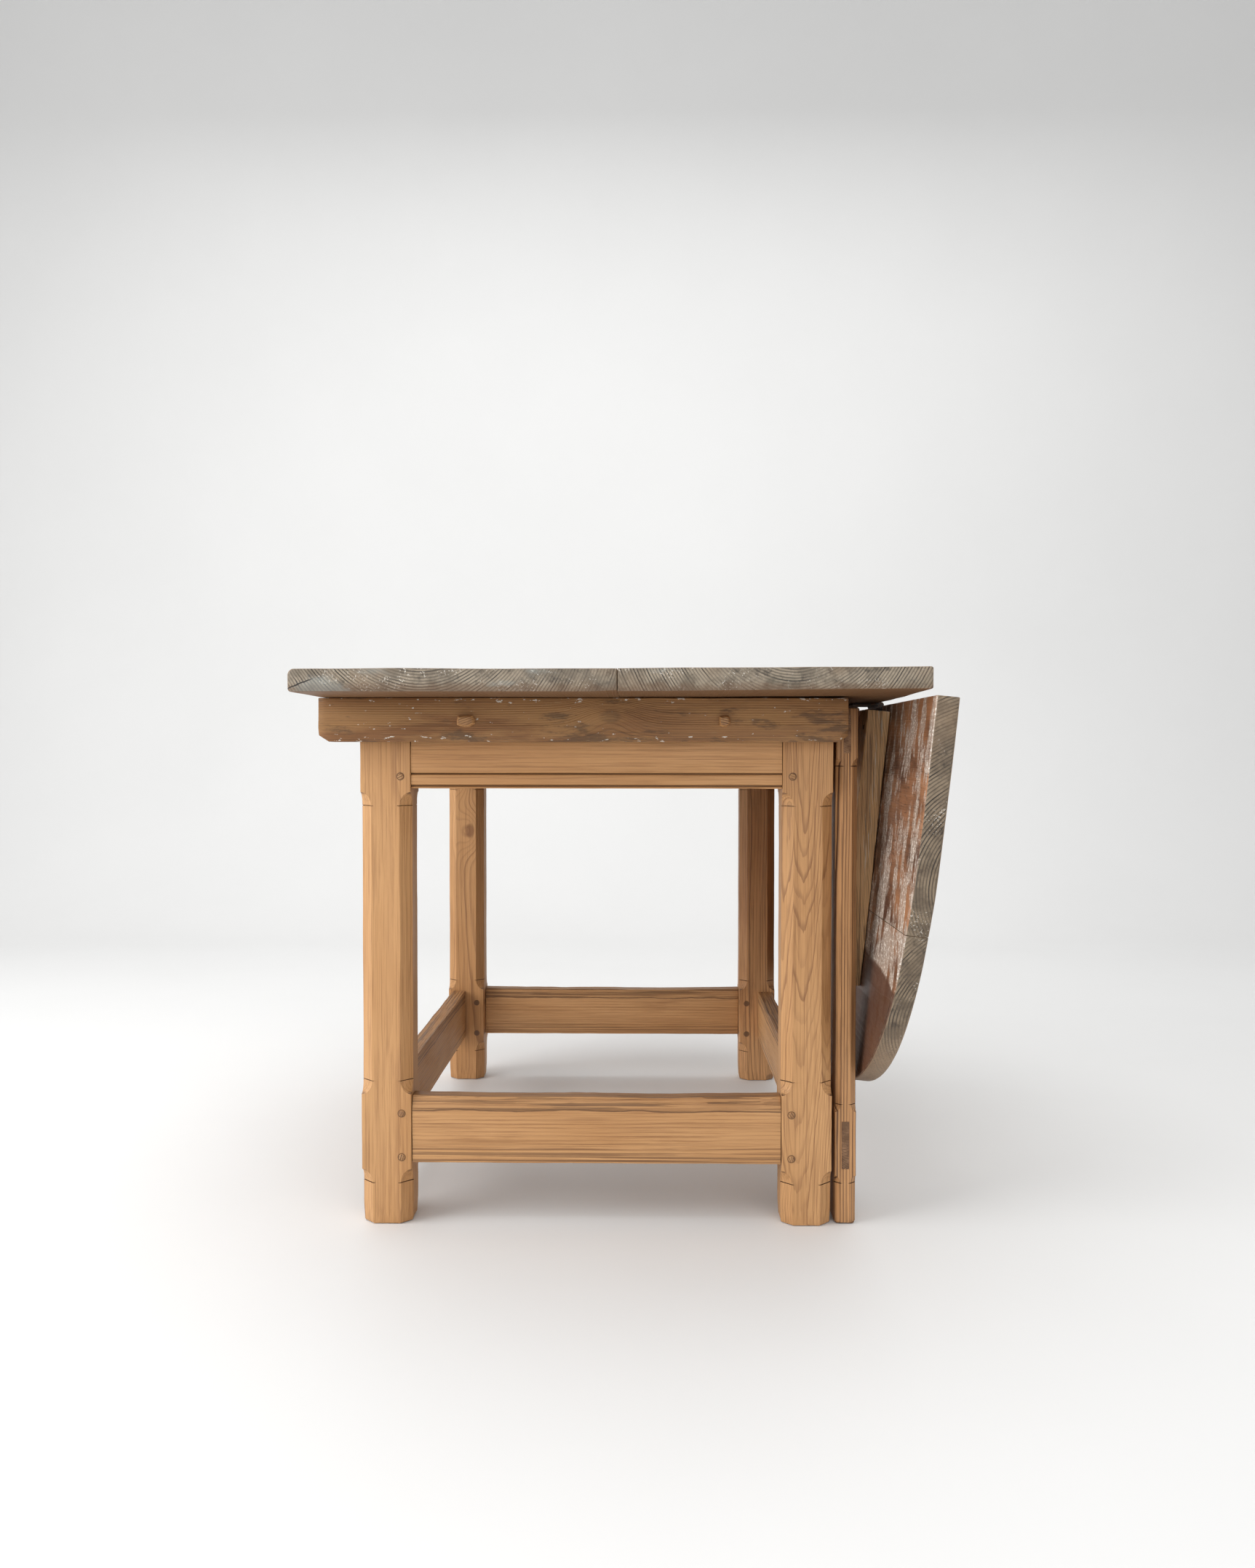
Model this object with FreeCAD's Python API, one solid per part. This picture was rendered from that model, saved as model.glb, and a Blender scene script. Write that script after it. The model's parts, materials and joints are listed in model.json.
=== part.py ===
import FreeCAD, Part
import math
import os

# Farmhouse drop leaf table: a pegged frame of legs, aprons and stretchers, a plank top held to the
# frame by pegged battens, one hinged leaf on the right, and a gate that swings out to carry it.
# Millimetres. +X is towards the leaf, +Y along the boards, +Z up. The origin is on the floor, in the
# middle of the table's own box with the leaf hanging.

os.makedirs("parts", exist_ok=True)

# ---- Driving sizes ----

# frame
frame_width = 652.0
frame_depth = 859.0
frame_height = 730.0
leg_width = 70.0
leg_depth = 67.0
rail_recess = 1.5

apron_height = 124.0
apron_thickness = 26.0
apron_tenon_thickness = 9.0
apron_tenon_length = 30.0
apron_tenon_shoulder = 12.0
bead_height = 21.0
bead_groove = 2.5
bead_lip = 2.5

stretcher_bottom = 86.0
stretcher_height = 93.0
stretcher_thickness = 32.0
stretcher_tenon_thickness = 11.0
stretcher_tenon_length = 32.0
stretcher_tenon_shoulder = 10.0
stretcher_bevel = 16.0
stretcher_bevel_depth = 7.0

# stopped chamfers of the legs
leg_chamfer = 15.0
leg_cove = 18.0
chamfer_below_apron = 23.0
chamfer_above_stretcher = 21.0
chamfer_below_stretcher = 27.0

# draw pegs of the frame's joints
peg_radius = 4.25
peg_inset = 14.0
peg_length = 34.0
apron_peg_margin = 17.0
stretcher_peg_low = 8.0
stretcher_peg_high = 24.0

# top
top_thickness = 32.0
top_end_overhang = 194.5
top_left_overhang = 48.0
top_right_overhang = 94.0
first_board_share = 0.513
joint_gap = 1.0

# battens under the top, and the treenails that lock them to the aprons
batten_thickness = 38.0
batten_height = 60.0
batten_right_reach = 14.5
batten_corner_length = 14.0
batten_corner_height = 9.0
batten_bevel = 9.0
batten_bevel_depth = 3.0
treenail_radius = 7.5
treenail_inset = 152.0
treenail_drop = 32.0
treenail_proud = 11.0
treenail_depth = 20.0
treenail_head = 17.0
treenail_long_head = 28.0
treenail_clip = 4.8

# leaf
leaf_width = 575.0
leaf_thickness = 30.0
leaf_roundness = 3.2
leaf_rest_gap = 1.5
inner_leaf_board_width = 300.0
leaf_batten_thickness = 34.0
leaf_batten_width = 65.0
leaf_batten_length = 400.0
leaf_batten_setback = 12.0
leaf_batten_from_front = 91.0
leaf_batten_taper = 60.0
leaf_batten_tip = 11.0

# gate
gate_leg_thickness = 30.0
gate_leg_depth = 67.0
gate_leg_setback = 10.0
gate_top_drop = 12.0
gate_foot_clearance = 1.0
gate_leg_chamfer = 8.0
gate_cove = 10.0
gate_chamfer_below_top = 80.0
gate_chamfer_clearance = 19.0
gate_rail_thickness = 24.0
gate_tenon_thickness = 11.0
gate_top_rail_height = 57.0
gate_top_rail_drop = 6.0
gate_low_rail_bottom = 77.0
gate_low_rail_height = 71.0
gate_tenon_shoulder = 4.0
gate_stile_depth = 60.0
gate_reach = 470.0
gate_stile_foot = 62.0
gate_peg_radius = 4.0
gate_peg_shares = (0.28, 0.72)
gate_stile_peg_share = 0.38

# iron hinges
flap_plate_length = 90.0
flap_plate_width = 42.0
flap_plate_thickness = 2.5
flap_knuckle_radius = 4.5
flap_pin_radius = 2.5
flap_hinge_batten_gap = 8.5
butt_plate_length = 70.0
butt_plate_width = 32.0
butt_plate_thickness = 2.0
butt_knuckle_radius = 3.0
butt_pin_radius = 1.5
gate_gap = 6.5
pin_clearance = 0.05
knuckle_clearance = 0.4
knuckle_end_gap = 0.2

# screws and nails
screw_head_radius = 3.8
screw_head_height = 1.9
screw_radius = 1.8
screw_length = 17.0
screw_point = 4.0
screw_tip_radius = 0.3
screw_slot_depth = 0.7
screw_slot_width = 0.8
nail_radius = 1.6
nail_head_radius = 4.0
nail_head_height = 1.2
nail_grip = 26.0
leaf_nail_stagger = 13.0
batten_nail_shares = (0.1, 0.37, 0.63, 0.9)
# along the untapered part of a leaf batten, and to which side of its middle
leaf_nail_places = ((0.08, -1), (0.3, 1), (0.52, -1), (0.72, 1), (0.94, -1))
# the three screws of a flap, as shares of its width and of its length
screw_places = ((0.42, 0.0), (0.8, -0.32), (0.8, 0.32))

# ---- Sizes that follow from them ----

half_width = frame_width / 2
half_depth = frame_depth / 2
half_length = half_depth + top_end_overhang
span_x = frame_width - 2 * leg_width
span_y = frame_depth - 2 * leg_depth
apron_bottom = frame_height - apron_height
chamfer_top = apron_bottom - chamfer_below_apron
stretcher_top = stretcher_bottom + stretcher_height
leaf_line = half_width + top_right_overhang
top_left = -half_width - top_left_overhang
board_seam = top_left + first_board_share * (leaf_line - joint_gap / 2 - top_left)
top_surface = frame_height + top_thickness
batten_right = half_width + batten_right_reach
batten_bottom = frame_height - batten_height
treenail_height = frame_height - treenail_drop
treenail_x = half_width - treenail_inset
hinge_height = frame_height - flap_plate_thickness
leaf_batten_inner = half_depth - leaf_batten_from_front - leaf_batten_width
flap_hinge_spacing = leaf_batten_inner - flap_hinge_batten_gap - flap_plate_length / 2
rail_face = half_width - rail_recess
gate_inner = rail_face + gate_gap
gate_outer = gate_inner + gate_leg_thickness
gate_front = -half_depth + gate_leg_setback
gate_axis_x = rail_face + gate_gap / 2
gate_axis_y = gate_front + gate_reach
gate_leg_back = gate_front + gate_leg_depth
gate_stile_back = gate_axis_y - knuckle_clearance - butt_knuckle_radius
gate_stile_front = gate_stile_back - gate_stile_depth
gate_rail_middle = (gate_inner + gate_outer) / 2
gate_top = frame_height - gate_top_drop
gate_chamfer_top = gate_top - gate_chamfer_below_top
gate_top_rail_top = gate_top - gate_top_rail_drop
gate_top_rail_bottom = gate_top_rail_top - gate_top_rail_height
gate_low_rail_top = gate_low_rail_bottom + gate_low_rail_height
leaf_lean = math.asin((leaf_line + flap_plate_thickness - gate_outer - leaf_rest_gap) / leaf_width)
hang_angle = 90.0 + math.degrees(leaf_lean)


def box(x, y, z):
    """A block between pairs of limits along each axis."""
    low = FreeCAD.Vector(min(x), min(y), min(z))
    return Part.makeBox(abs(x[1] - x[0]), abs(y[1] - y[0]), abs(z[1] - z[0]), low)


def rod(radius, start, direction, length):
    """A round bar from start."""
    return Part.makeCylinder(radius, length, FreeCAD.Vector(*start), FreeCAD.Vector(*direction))


def prism(points, run):
    """A closed outline of (x, y, z) points, extruded along run."""
    corners = [FreeCAD.Vector(*p) for p in points]
    return Part.Face(Part.makePolygon(corners + corners[:1])).extrude(FreeCAD.Vector(*run))


def without(shape, tools):
    """The shape with every tool cut away."""
    return shape.cut(Part.makeCompound(tools))


def turned(shape, angle, axis, centre=(0, 0, 0)):
    copy = shape.copy()
    copy.rotate(FreeCAD.Vector(*centre), FreeCAD.Vector(*axis), angle)
    return copy


def moved(shape, x, y, z):
    copy = shape.copy()
    copy.translate(FreeCAD.Vector(x, y, z))
    return copy


# ---- Frame ----

# each side of the frame: the turn that takes a front member there, and its centre line
sides = {
    "front": (0, 0, -half_depth, span_x),
    "rear": (180, 0, half_depth, span_x),
    "left": (-90, -half_width, 0, span_y),
    "right": (90, half_width, 0, span_y),
}


def on_side(shape, side):
    """Takes a member built at the front, with its leg face at y = 0, to a side of the frame."""
    angle, x, y, _ = sides[side]
    return moved(turned(shape, angle, (0, 0, 1)), x, y, 0)


def tenoned(bar, span, thickness, tenon_thickness, tenon_length, z):
    """A member with a tenon at each end, centred in its thickness."""
    middle = rail_recess + thickness / 2
    y = (middle - tenon_thickness / 2, middle + tenon_thickness / 2)
    for end in (-1, 1):
        x = (end * span / 2, end * (span / 2 + tenon_length))
        bar = bar.fuse(box(x, y, z))
    return bar.removeSplitter()


def apron(side):
    """An apron with a beaded lower edge."""
    span = sides[side][3]
    y = (rail_recess, rail_recess + apron_thickness)
    bar = box((-span / 2, span / 2), y, (apron_bottom, frame_height))
    for z in (apron_bottom + bead_lip + bead_groove / 2, apron_bottom + bead_height):
        quirk = [
            (-span / 2, rail_recess, z - bead_groove / 2),
            (-span / 2, rail_recess + bead_groove, z),
            (-span / 2, rail_recess, z + bead_groove / 2),
        ]
        bar = bar.cut(prism(quirk, (span, 0, 0)))
    z = (apron_bottom + apron_tenon_shoulder, frame_height - apron_tenon_shoulder)
    bar = tenoned(bar, span, apron_thickness, apron_tenon_thickness, apron_tenon_length, z)
    return on_side(bar, side)


def stretcher(side):
    """A low stretcher with a worn bevel along its outer top edge."""
    span = sides[side][3]
    y = (rail_recess, rail_recess + stretcher_thickness)
    bar = box((-span / 2, span / 2), y, (stretcher_bottom, stretcher_top))
    bevel = [
        (-span / 2, rail_recess, stretcher_top - stretcher_bevel),
        (-span / 2, rail_recess + stretcher_bevel_depth, stretcher_top),
        (-span / 2, rail_recess, stretcher_top),
    ]
    bar = bar.cut(prism(bevel, (span, 0, 0)))
    z = (stretcher_bottom + stretcher_tenon_shoulder, stretcher_top - stretcher_tenon_shoulder)
    bar = tenoned(bar, span, stretcher_thickness, stretcher_tenon_thickness, stretcher_tenon_length, z)
    return on_side(bar, side)


def joint_pegs(side):
    """The draw pegs that lock one side's apron and stretcher into its two legs."""
    span = sides[side][3]
    heights = (
        apron_bottom + apron_peg_margin,
        frame_height - apron_peg_margin,
        stretcher_bottom + stretcher_peg_low,
        stretcher_top - stretcher_peg_high,
    )
    pegs = []
    for x in (-span / 2 - peg_inset, span / 2 + peg_inset):
        for z in heights:
            pegs.append(rod(peg_radius, (x, 0, z), (0, 1, 0), peg_length))
    return on_side(Part.makeCompound(pegs), side)


def chamfer_cut(corner, outward, size, cove, bottom, top, coved_foot):
    """The wedge cut from an upright edge between two heights, scooped out at its stopped ends."""
    n = FreeCAD.Vector(outward[0], outward[1], 0).normalize()
    t = FreeCAD.Vector(-outward[1], outward[0], 0).normalize()
    depth = size / math.sqrt(2)
    scoop = math.sqrt(0.5)
    start = FreeCAD.Vector(corner[0], corner[1], 0) - t * size

    def at(inward, z):
        return start - n * inward + FreeCAD.Vector(0, 0, z)

    edges = [Part.Arc(at(depth, top), at(depth * scoop, top + cove * scoop), at(0, top + cove)).toShape()]
    outline = [at(0, top + cove), at(-1, top + cove)]
    if coved_foot:
        outline += [at(-1, bottom - cove), at(0, bottom - cove)]
        foot = Part.Arc(at(0, bottom - cove), at(depth * scoop, bottom - cove * scoop), at(depth, bottom))
        edges.append(foot.toShape())
    else:
        outline += [at(-1, bottom), at(depth, bottom)]
    edges += [Part.makeLine(a, b) for a, b in zip(outline, outline[1:])]
    edges.append(Part.makeLine(at(depth, bottom), at(depth, top)))
    wire = Part.Wire(Part.__sortEdges__(edges))
    return Part.Face(wire).extrude(t * (2 * size))


def chamfered(post, x, y, size, cove, runs):
    """A post with stopped chamfers on its four upright edges; runs is (bottom, top, coved foot)."""
    cuts = []
    for sx, px in ((-1, min(x)), (1, max(x))):
        for sy, py in ((-1, min(y)), (1, max(y))):
            for bottom, top, coved_foot in runs:
                cuts.append(chamfer_cut((px, py), (sx, sy), size, cove, bottom, top, coved_foot))
    return without(post, cuts)


def leg(sx, sy):
    x = (sx * (half_width - leg_width), sx * half_width)
    y = (sy * (half_depth - leg_depth), sy * half_depth)
    runs = (
        (stretcher_top + chamfer_above_stretcher, chamfer_top, True),
        (0, stretcher_bottom - chamfer_below_stretcher, False),
    )
    return chamfered(box(x, y, (0, frame_height)), x, y, leg_chamfer, leg_cove, runs)


# ---- Nails, screws and hinges ----


def nail(start, direction, length):
    """A flush-headed iron nail."""
    shank = rod(nail_radius, start, direction, length)
    return shank.fuse(rod(nail_head_radius, start, direction, nail_head_height)).removeSplitter()


def screw(x, y, z, way):
    """A slotted countersunk screw with its flush head at y, driven along +y or -y."""
    centre = FreeCAD.Vector(x, y, z)
    drive = FreeCAD.Vector(0, way, 0)
    head = Part.makeCone(screw_head_radius, screw_radius, screw_head_height, centre, drive)
    shank_length = screw_length - screw_point
    shank = Part.makeCylinder(screw_radius, shank_length, centre, drive)
    point = Part.makeCone(screw_radius, screw_tip_radius, screw_point, centre + drive * shank_length, drive)
    half_slot = screw_slot_width / 2
    across = (x - screw_head_radius, x + screw_head_radius)
    slot = box(across, (y, y + way * screw_slot_depth), (z - half_slot, z + half_slot))
    return head.fuse([shank, point]).removeSplitter().cut(slot)


def hinge(length, width, knuckle, pin, fixed_y, moving_y, fixed_way, moving_way):
    """An iron hinge about local z. The fixed flap runs to -x and the moving flap to +x; each lies
    between its pair of y limits, and its screws are driven the given way along y."""
    inner = (length / 3 - knuckle_end_gap) / 2
    outer = (length / 3 + knuckle_end_gap) / 2
    reach = knuckle + knuckle_clearance
    bore = rod(pin + pin_clearance, (0, 0, -length), (0, 0, 1), 2 * length)
    middle = (-inner, inner)
    ends = ((-length / 2, -outer), (outer, length / 2))
    flaps = []
    for way, limits, own, other in ((-1, fixed_y, ends, (middle,)), (1, moving_y, (middle,), ends)):
        flap = box((0, way * width), limits, (-length / 2, length / 2))
        for low, high in other:
            room = (low - knuckle_clearance, high + knuckle_clearance)
            flap = flap.cut(box((-reach, reach), (-reach, reach), room))
        for low, high in own:
            flap = flap.fuse(rod(knuckle, (0, 0, low), (0, 0, 1), high - low))
        flaps.append(flap.cut(bore).removeSplitter())
    screws = []
    for way, limits, drive in ((-1, fixed_y, fixed_way), (1, moving_y, moving_way)):
        face = limits[0] if drive > 0 else limits[1]
        group = [screw(way * width * across, face, length * along, drive) for across, along in screw_places]
        screws.append(Part.makeCompound(group))
    return {
        "fixed": without(flaps[0], [screws[0]]),
        "moving": without(flaps[1], [screws[1]]),
        "pin": rod(pin, (0, 0, -length / 2), (0, 0, 1), length),
        "fixed_screws": screws[0],
        "moving_screws": screws[1],
    }


def leaf_hinges():
    """The flap hinges, laid out with the leaf raised."""
    one = hinge(
        flap_plate_length,
        flap_plate_width,
        flap_knuckle_radius,
        flap_pin_radius,
        (0, flap_plate_thickness),
        (0, flap_plate_thickness),
        1,
        1,
    )
    places = (-flap_hinge_spacing, 0, flap_hinge_spacing)
    return [
        {name: moved(turned(s, 90, (1, 0, 0)), leaf_line, y, hinge_height) for name, s in one.items()}
        for y in places
    ]


def gate_hinges():
    """The butt hinges that hang the gate, with the gate folded."""
    half_gap = gate_gap / 2
    one = hinge(
        butt_plate_length,
        butt_plate_width,
        butt_knuckle_radius,
        butt_pin_radius,
        (-half_gap, butt_plate_thickness - half_gap),
        (half_gap - butt_plate_thickness, half_gap),
        -1,
        1,
    )
    upper = (gate_top_rail_bottom + gate_top_rail_top) / 2
    lower = (stretcher_bottom + stretcher_top) / 2
    return [
        {name: moved(turned(s, -90, (0, 0, 1)), gate_axis_x, gate_axis_y, z) for name, s in one.items()}
        for z in (upper, lower)
    ]


# ---- Top ----


def top_boards():
    """The fixed planks, left to right, ending just short of the hinge line."""
    y = (-half_length, half_length)
    edges = (top_left, board_seam, leaf_line - joint_gap / 2)
    return [box(x, y, (frame_height, top_surface)) for x in zip(edges, edges[1:])]


def top_batten(sy):
    """A batten under the top, against the outer faces of two legs, with clipped lower corners."""
    inner, outer = sy * half_depth, sy * (half_depth + batten_thickness)
    outline = [
        (top_left, inner, frame_height),
        (top_left, inner, batten_bottom + batten_corner_height),
        (top_left + batten_corner_length, inner, batten_bottom),
        (batten_right - batten_corner_length, inner, batten_bottom),
        (batten_right, inner, batten_bottom + batten_corner_height),
        (batten_right, inner, frame_height),
    ]
    bar = prism(outline, (0, outer - inner, 0))
    bevel = [
        (top_left, outer, batten_bottom + batten_bevel),
        (top_left, outer - sy * batten_bevel_depth, batten_bottom),
        (top_left, outer, batten_bottom),
    ]
    return bar.cut(prism(bevel, (batten_right - top_left, 0, 0)))


def treenail(x, sy, head_width):
    """A whittled pin through a batten into the apron behind it."""
    face = sy * (half_depth + batten_thickness)
    end = sy * (half_depth - treenail_depth)
    shank = rod(treenail_radius, (x, face, treenail_height), (0, -sy, 0), abs(face - end))
    half, rise = head_width / 2, treenail_head / 2
    clip = treenail_clip
    outline = [
        (x - half, face, treenail_height - rise + clip),
        (x - half + clip, face, treenail_height - rise),
        (x + half - clip / 2, face, treenail_height - rise),
        (x + half, face, treenail_height - rise + clip),
        (x + half, face, treenail_height + rise - clip / 2),
        (x + half - clip, face, treenail_height + rise),
        (x - half + clip / 2, face, treenail_height + rise),
        (x - half, face, treenail_height + rise - clip),
    ]
    return shank.fuse(prism(outline, (0, sy * treenail_proud, 0))).removeSplitter()


def batten_nails(sy, boards):
    """Nails down through each board into a batten."""
    y = sy * (half_depth + batten_thickness / 2)
    nails = []
    for board in boards:
        low, high = board.BoundBox.XMin, min(board.BoundBox.XMax, batten_right)
        for share in batten_nail_shares:
            place = (low + (high - low) * share, y, top_surface)
            nails.append(nail(place, (0, 0, -1), top_thickness + nail_grip))
    return Part.makeCompound(nails)


# ---- Leaf, laid out raised and then hung ----


def leaf_outline():
    """The leaf's plan: straight at the hinge, with full rounded shoulders."""
    steps = 24
    power = 2 / leaf_roundness
    points = []
    for i in range(steps + 1):
        a = math.pi * i / steps
        along = math.copysign(abs(math.cos(a)) ** power, math.cos(a)) * half_length
        out = abs(math.sin(a)) ** power * leaf_width if 0 < i < steps else 0
        points.append(FreeCAD.Vector(leaf_line + out, along, frame_height))
    curve = Part.BSplineCurve()
    out_way = FreeCAD.Vector(1, 0, 0)
    curve.interpolate(Points=points, InitialTangent=out_way, FinalTangent=out_way * -1)
    wire = Part.Wire([curve.toShape(), Part.makeLine(points[-1], points[0])])
    return Part.Face(wire)


def leaf_boards():
    plan = leaf_outline().extrude(FreeCAD.Vector(0, 0, leaf_thickness))
    start = leaf_line + joint_gap / 2
    edges = (start, start + inner_leaf_board_width, leaf_line + leaf_width + 1)
    z = (frame_height, frame_height + leaf_thickness)
    return [plan.common(box(x, (-half_length, half_length), z)) for x in zip(edges, edges[1:])]


def leaf_batten(sy):
    """A batten across the leaf's underside, tapered away at its outer end."""
    near = sy * (half_depth - leaf_batten_from_front)
    start = leaf_line + leaf_batten_setback
    end = start + leaf_batten_length
    bottom = frame_height - leaf_batten_thickness
    outline = [
        (start, near, frame_height),
        (start, near, bottom),
        (end - leaf_batten_taper, near, bottom),
        (end, near, frame_height - leaf_batten_tip),
        (end, near, frame_height),
    ]
    return prism(outline, (0, -sy * leaf_batten_width, 0))


def leaf_nails(sy):
    """Nails up through a leaf batten into the leaf."""
    y = sy * (half_depth - leaf_batten_from_front - leaf_batten_width / 2)
    bottom = frame_height - leaf_batten_thickness
    start = leaf_line + leaf_batten_setback
    flat = leaf_batten_length - leaf_batten_taper
    nails = []
    for share, way in leaf_nail_places:
        place = (start + flat * share, y + way * leaf_nail_stagger, bottom)
        nails.append(nail(place, (0, 0, 1), leaf_batten_thickness + leaf_thickness / 2))
    return nails


def hung(shape):
    """Turns a piece of the raised leaf down to where it hangs."""
    return turned(shape, hang_angle, (0, 1, 0), (leaf_line, 0, hinge_height))


# ---- Gate, folded against the right side ----


def gate_rail(bottom, top):
    """A rail whose tenons pass right through the gate's leg and stile."""
    half, half_tenon = gate_rail_thickness / 2, gate_tenon_thickness / 2
    x = (gate_rail_middle - half, gate_rail_middle + half)
    bar = box(x, (gate_leg_back, gate_stile_front), (bottom, top))
    x = (gate_rail_middle - half_tenon, gate_rail_middle + half_tenon)
    z = (bottom, top - gate_tenon_shoulder)
    return bar.fuse(box(x, (gate_front, gate_stile_back), z)).removeSplitter()


def gate_leg():
    x = (gate_inner, gate_outer)
    y = (gate_front, gate_leg_back)
    runs = (
        (gate_low_rail_top + gate_chamfer_clearance, gate_chamfer_top, True),
        (gate_foot_clearance, gate_low_rail_bottom - gate_chamfer_clearance, False),
    )
    post = box(x, y, (gate_foot_clearance, gate_top))
    return chamfered(post, x, y, gate_leg_chamfer, gate_cove, runs)


def gate_stile():
    x = (gate_inner, gate_outer)
    return box(x, (gate_stile_front, gate_stile_back), (gate_stile_foot, gate_top))


def gate_pegs():
    """A pair of pegs across each of the gate's four joints."""
    pegs = []
    for y in (gate_leg_back - gate_leg_depth / 2, gate_stile_front + gate_stile_depth * gate_stile_peg_share):
        for bottom, top in (
            (gate_low_rail_bottom, gate_low_rail_top),
            (gate_top_rail_bottom, gate_top_rail_top),
        ):
            for share in gate_peg_shares:
                z = bottom + (top - bottom) * share
                pegs.append(rod(gate_peg_radius, (gate_inner, y, z), (1, 0, 0), gate_leg_thickness))
    return Part.makeCompound(pegs)


# ---- Assembly ----

nodes = {}


def build_frame():
    members = {}
    pegs = {side: joint_pegs(side) for side in sides}
    for side in sides:
        members["apron_" + side] = apron(side)
        members["stretcher_" + side] = stretcher(side)
    corners = {"front_left": (-1, -1), "front_right": (1, -1), "rear_left": (-1, 1), "rear_right": (1, 1)}
    for name, (sx, sy) in corners.items():
        nodes["leg_" + name] = without(leg(sx, sy), list(members.values()) + list(pegs.values()))
    for name, member in members.items():
        nodes[name] = without(member, list(pegs.values()))
    for side, group in pegs.items():
        nodes["joint_pegs_" + side] = group


def build_top(hinges):
    boards = top_boards()
    nails = [batten_nails(sy, boards) for sy in (-1, 1)]
    heads = {
        "treenail_front_left": treenail(-treenail_x, -1, treenail_long_head),
        "treenail_front_right": treenail(treenail_x, -1, treenail_head),
        "treenail_rear_left": treenail(-treenail_x, 1, treenail_head),
        "treenail_rear_right": treenail(treenail_x, 1, treenail_head),
    }
    fixings = nails + [h["fixed_screws"] for h in hinges] + knuckle_rooms()
    for number, board in enumerate(boards, 1):
        nodes["top_board_%d" % number] = without(board, fixings)
    for side, sy in (("front", -1), ("rear", 1)):
        nodes["top_batten_" + side] = without(top_batten(sy), nails + list(heads.values()))
        nodes["apron_" + side] = without(nodes["apron_" + side], list(heads.values()))
    nodes.update(heads)
    nodes["top_batten_nails"] = Part.makeCompound(nails)
    nodes["leaf_hinge_pins"] = Part.makeCompound([h["pin"] for h in hinges])
    nodes["leaf_hinge_top_screws"] = Part.makeCompound([h["fixed_screws"] for h in hinges])
    for place, h in zip(("front", "middle", "rear"), hinges):
        nodes["leaf_hinge_%s_top_flap" % place] = h["fixed"]


def knuckle_rooms():
    """The housings cut around each leaf hinge's knuckle in the edges that meet above it."""
    radius = flap_knuckle_radius + knuckle_clearance
    length = flap_plate_length + 2 * knuckle_clearance
    starts = (-flap_hinge_spacing, 0, flap_hinge_spacing)
    return [rod(radius, (leaf_line, y - length / 2, hinge_height), (0, 1, 0), length) for y in starts]


def build_leaf(hinges):
    boards = leaf_boards()
    nails = leaf_nails(-1) + leaf_nails(1)
    fixings = nails + [h["moving_screws"] for h in hinges] + knuckle_rooms()
    for number, board in enumerate(boards, 1):
        nodes["leaf_board_%d" % number] = hung(without(board, fixings))
    for side, sy in (("front", -1), ("rear", 1)):
        nodes["leaf_batten_" + side] = hung(without(leaf_batten(sy), nails))
    nodes["leaf_batten_nails"] = hung(Part.makeCompound(nails))
    nodes["leaf_hinge_leaf_screws"] = hung(Part.makeCompound([h["moving_screws"] for h in hinges]))
    for place, h in zip(("front", "middle", "rear"), hinges):
        nodes["leaf_hinge_%s_leaf_flap" % place] = hung(h["moving"])


def build_gate(hinges):
    rails = {
        "gate_top_rail": gate_rail(gate_top_rail_bottom, gate_top_rail_top),
        "gate_low_rail": gate_rail(gate_low_rail_bottom, gate_low_rail_top),
    }
    pegs = gate_pegs()
    moving = [h["moving_screws"] for h in hinges]
    nodes["gate_leg"] = without(gate_leg(), list(rails.values()) + [pegs])
    nodes["gate_stile"] = without(gate_stile(), list(rails.values()) + [pegs] + moving)
    for name, rail in rails.items():
        nodes[name] = without(rail, [pegs] + moving)
    nodes["gate_pegs"] = pegs
    fixed = [h["fixed_screws"] for h in hinges]
    for name in ("apron_right", "stretcher_right"):
        nodes[name] = without(nodes[name], fixed)
    nodes["gate_hinge_pins"] = Part.makeCompound([h["pin"] for h in hinges])
    nodes["gate_hinge_frame_screws"] = Part.makeCompound(fixed)
    nodes["gate_hinge_gate_screws"] = Part.makeCompound(moving)
    for place, h in zip(("upper", "lower"), hinges):
        nodes["gate_hinge_%s_frame_flap" % place] = h["fixed"]
        nodes["gate_hinge_%s_gate_flap" % place] = h["moving"]


def export_nodes():
    """Writes each node with the table's box centred over the origin."""
    low = min(s.BoundBox.XMin for s in nodes.values())
    high = max(s.BoundBox.XMax for s in nodes.values())
    shift = -(low + high) / 2
    for name, shape in nodes.items():
        if not shape.isValid():
            raise ValueError(name + " is not a valid shape")
        moved(shape, shift, 0, 0).exportStep("parts/%s.step" % name)
    print("nodes", len(nodes), "x shift %.4f" % shift, "leaf turn %.4f" % hang_angle)


leaf_iron = leaf_hinges()
gate_iron = gate_hinges()
build_frame()
build_top(leaf_iron)
build_leaf(leaf_iron)
build_gate(gate_iron)
export_nodes()
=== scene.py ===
import json
import math

import bpy
from mathutils import Matrix, Vector, noise


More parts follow.
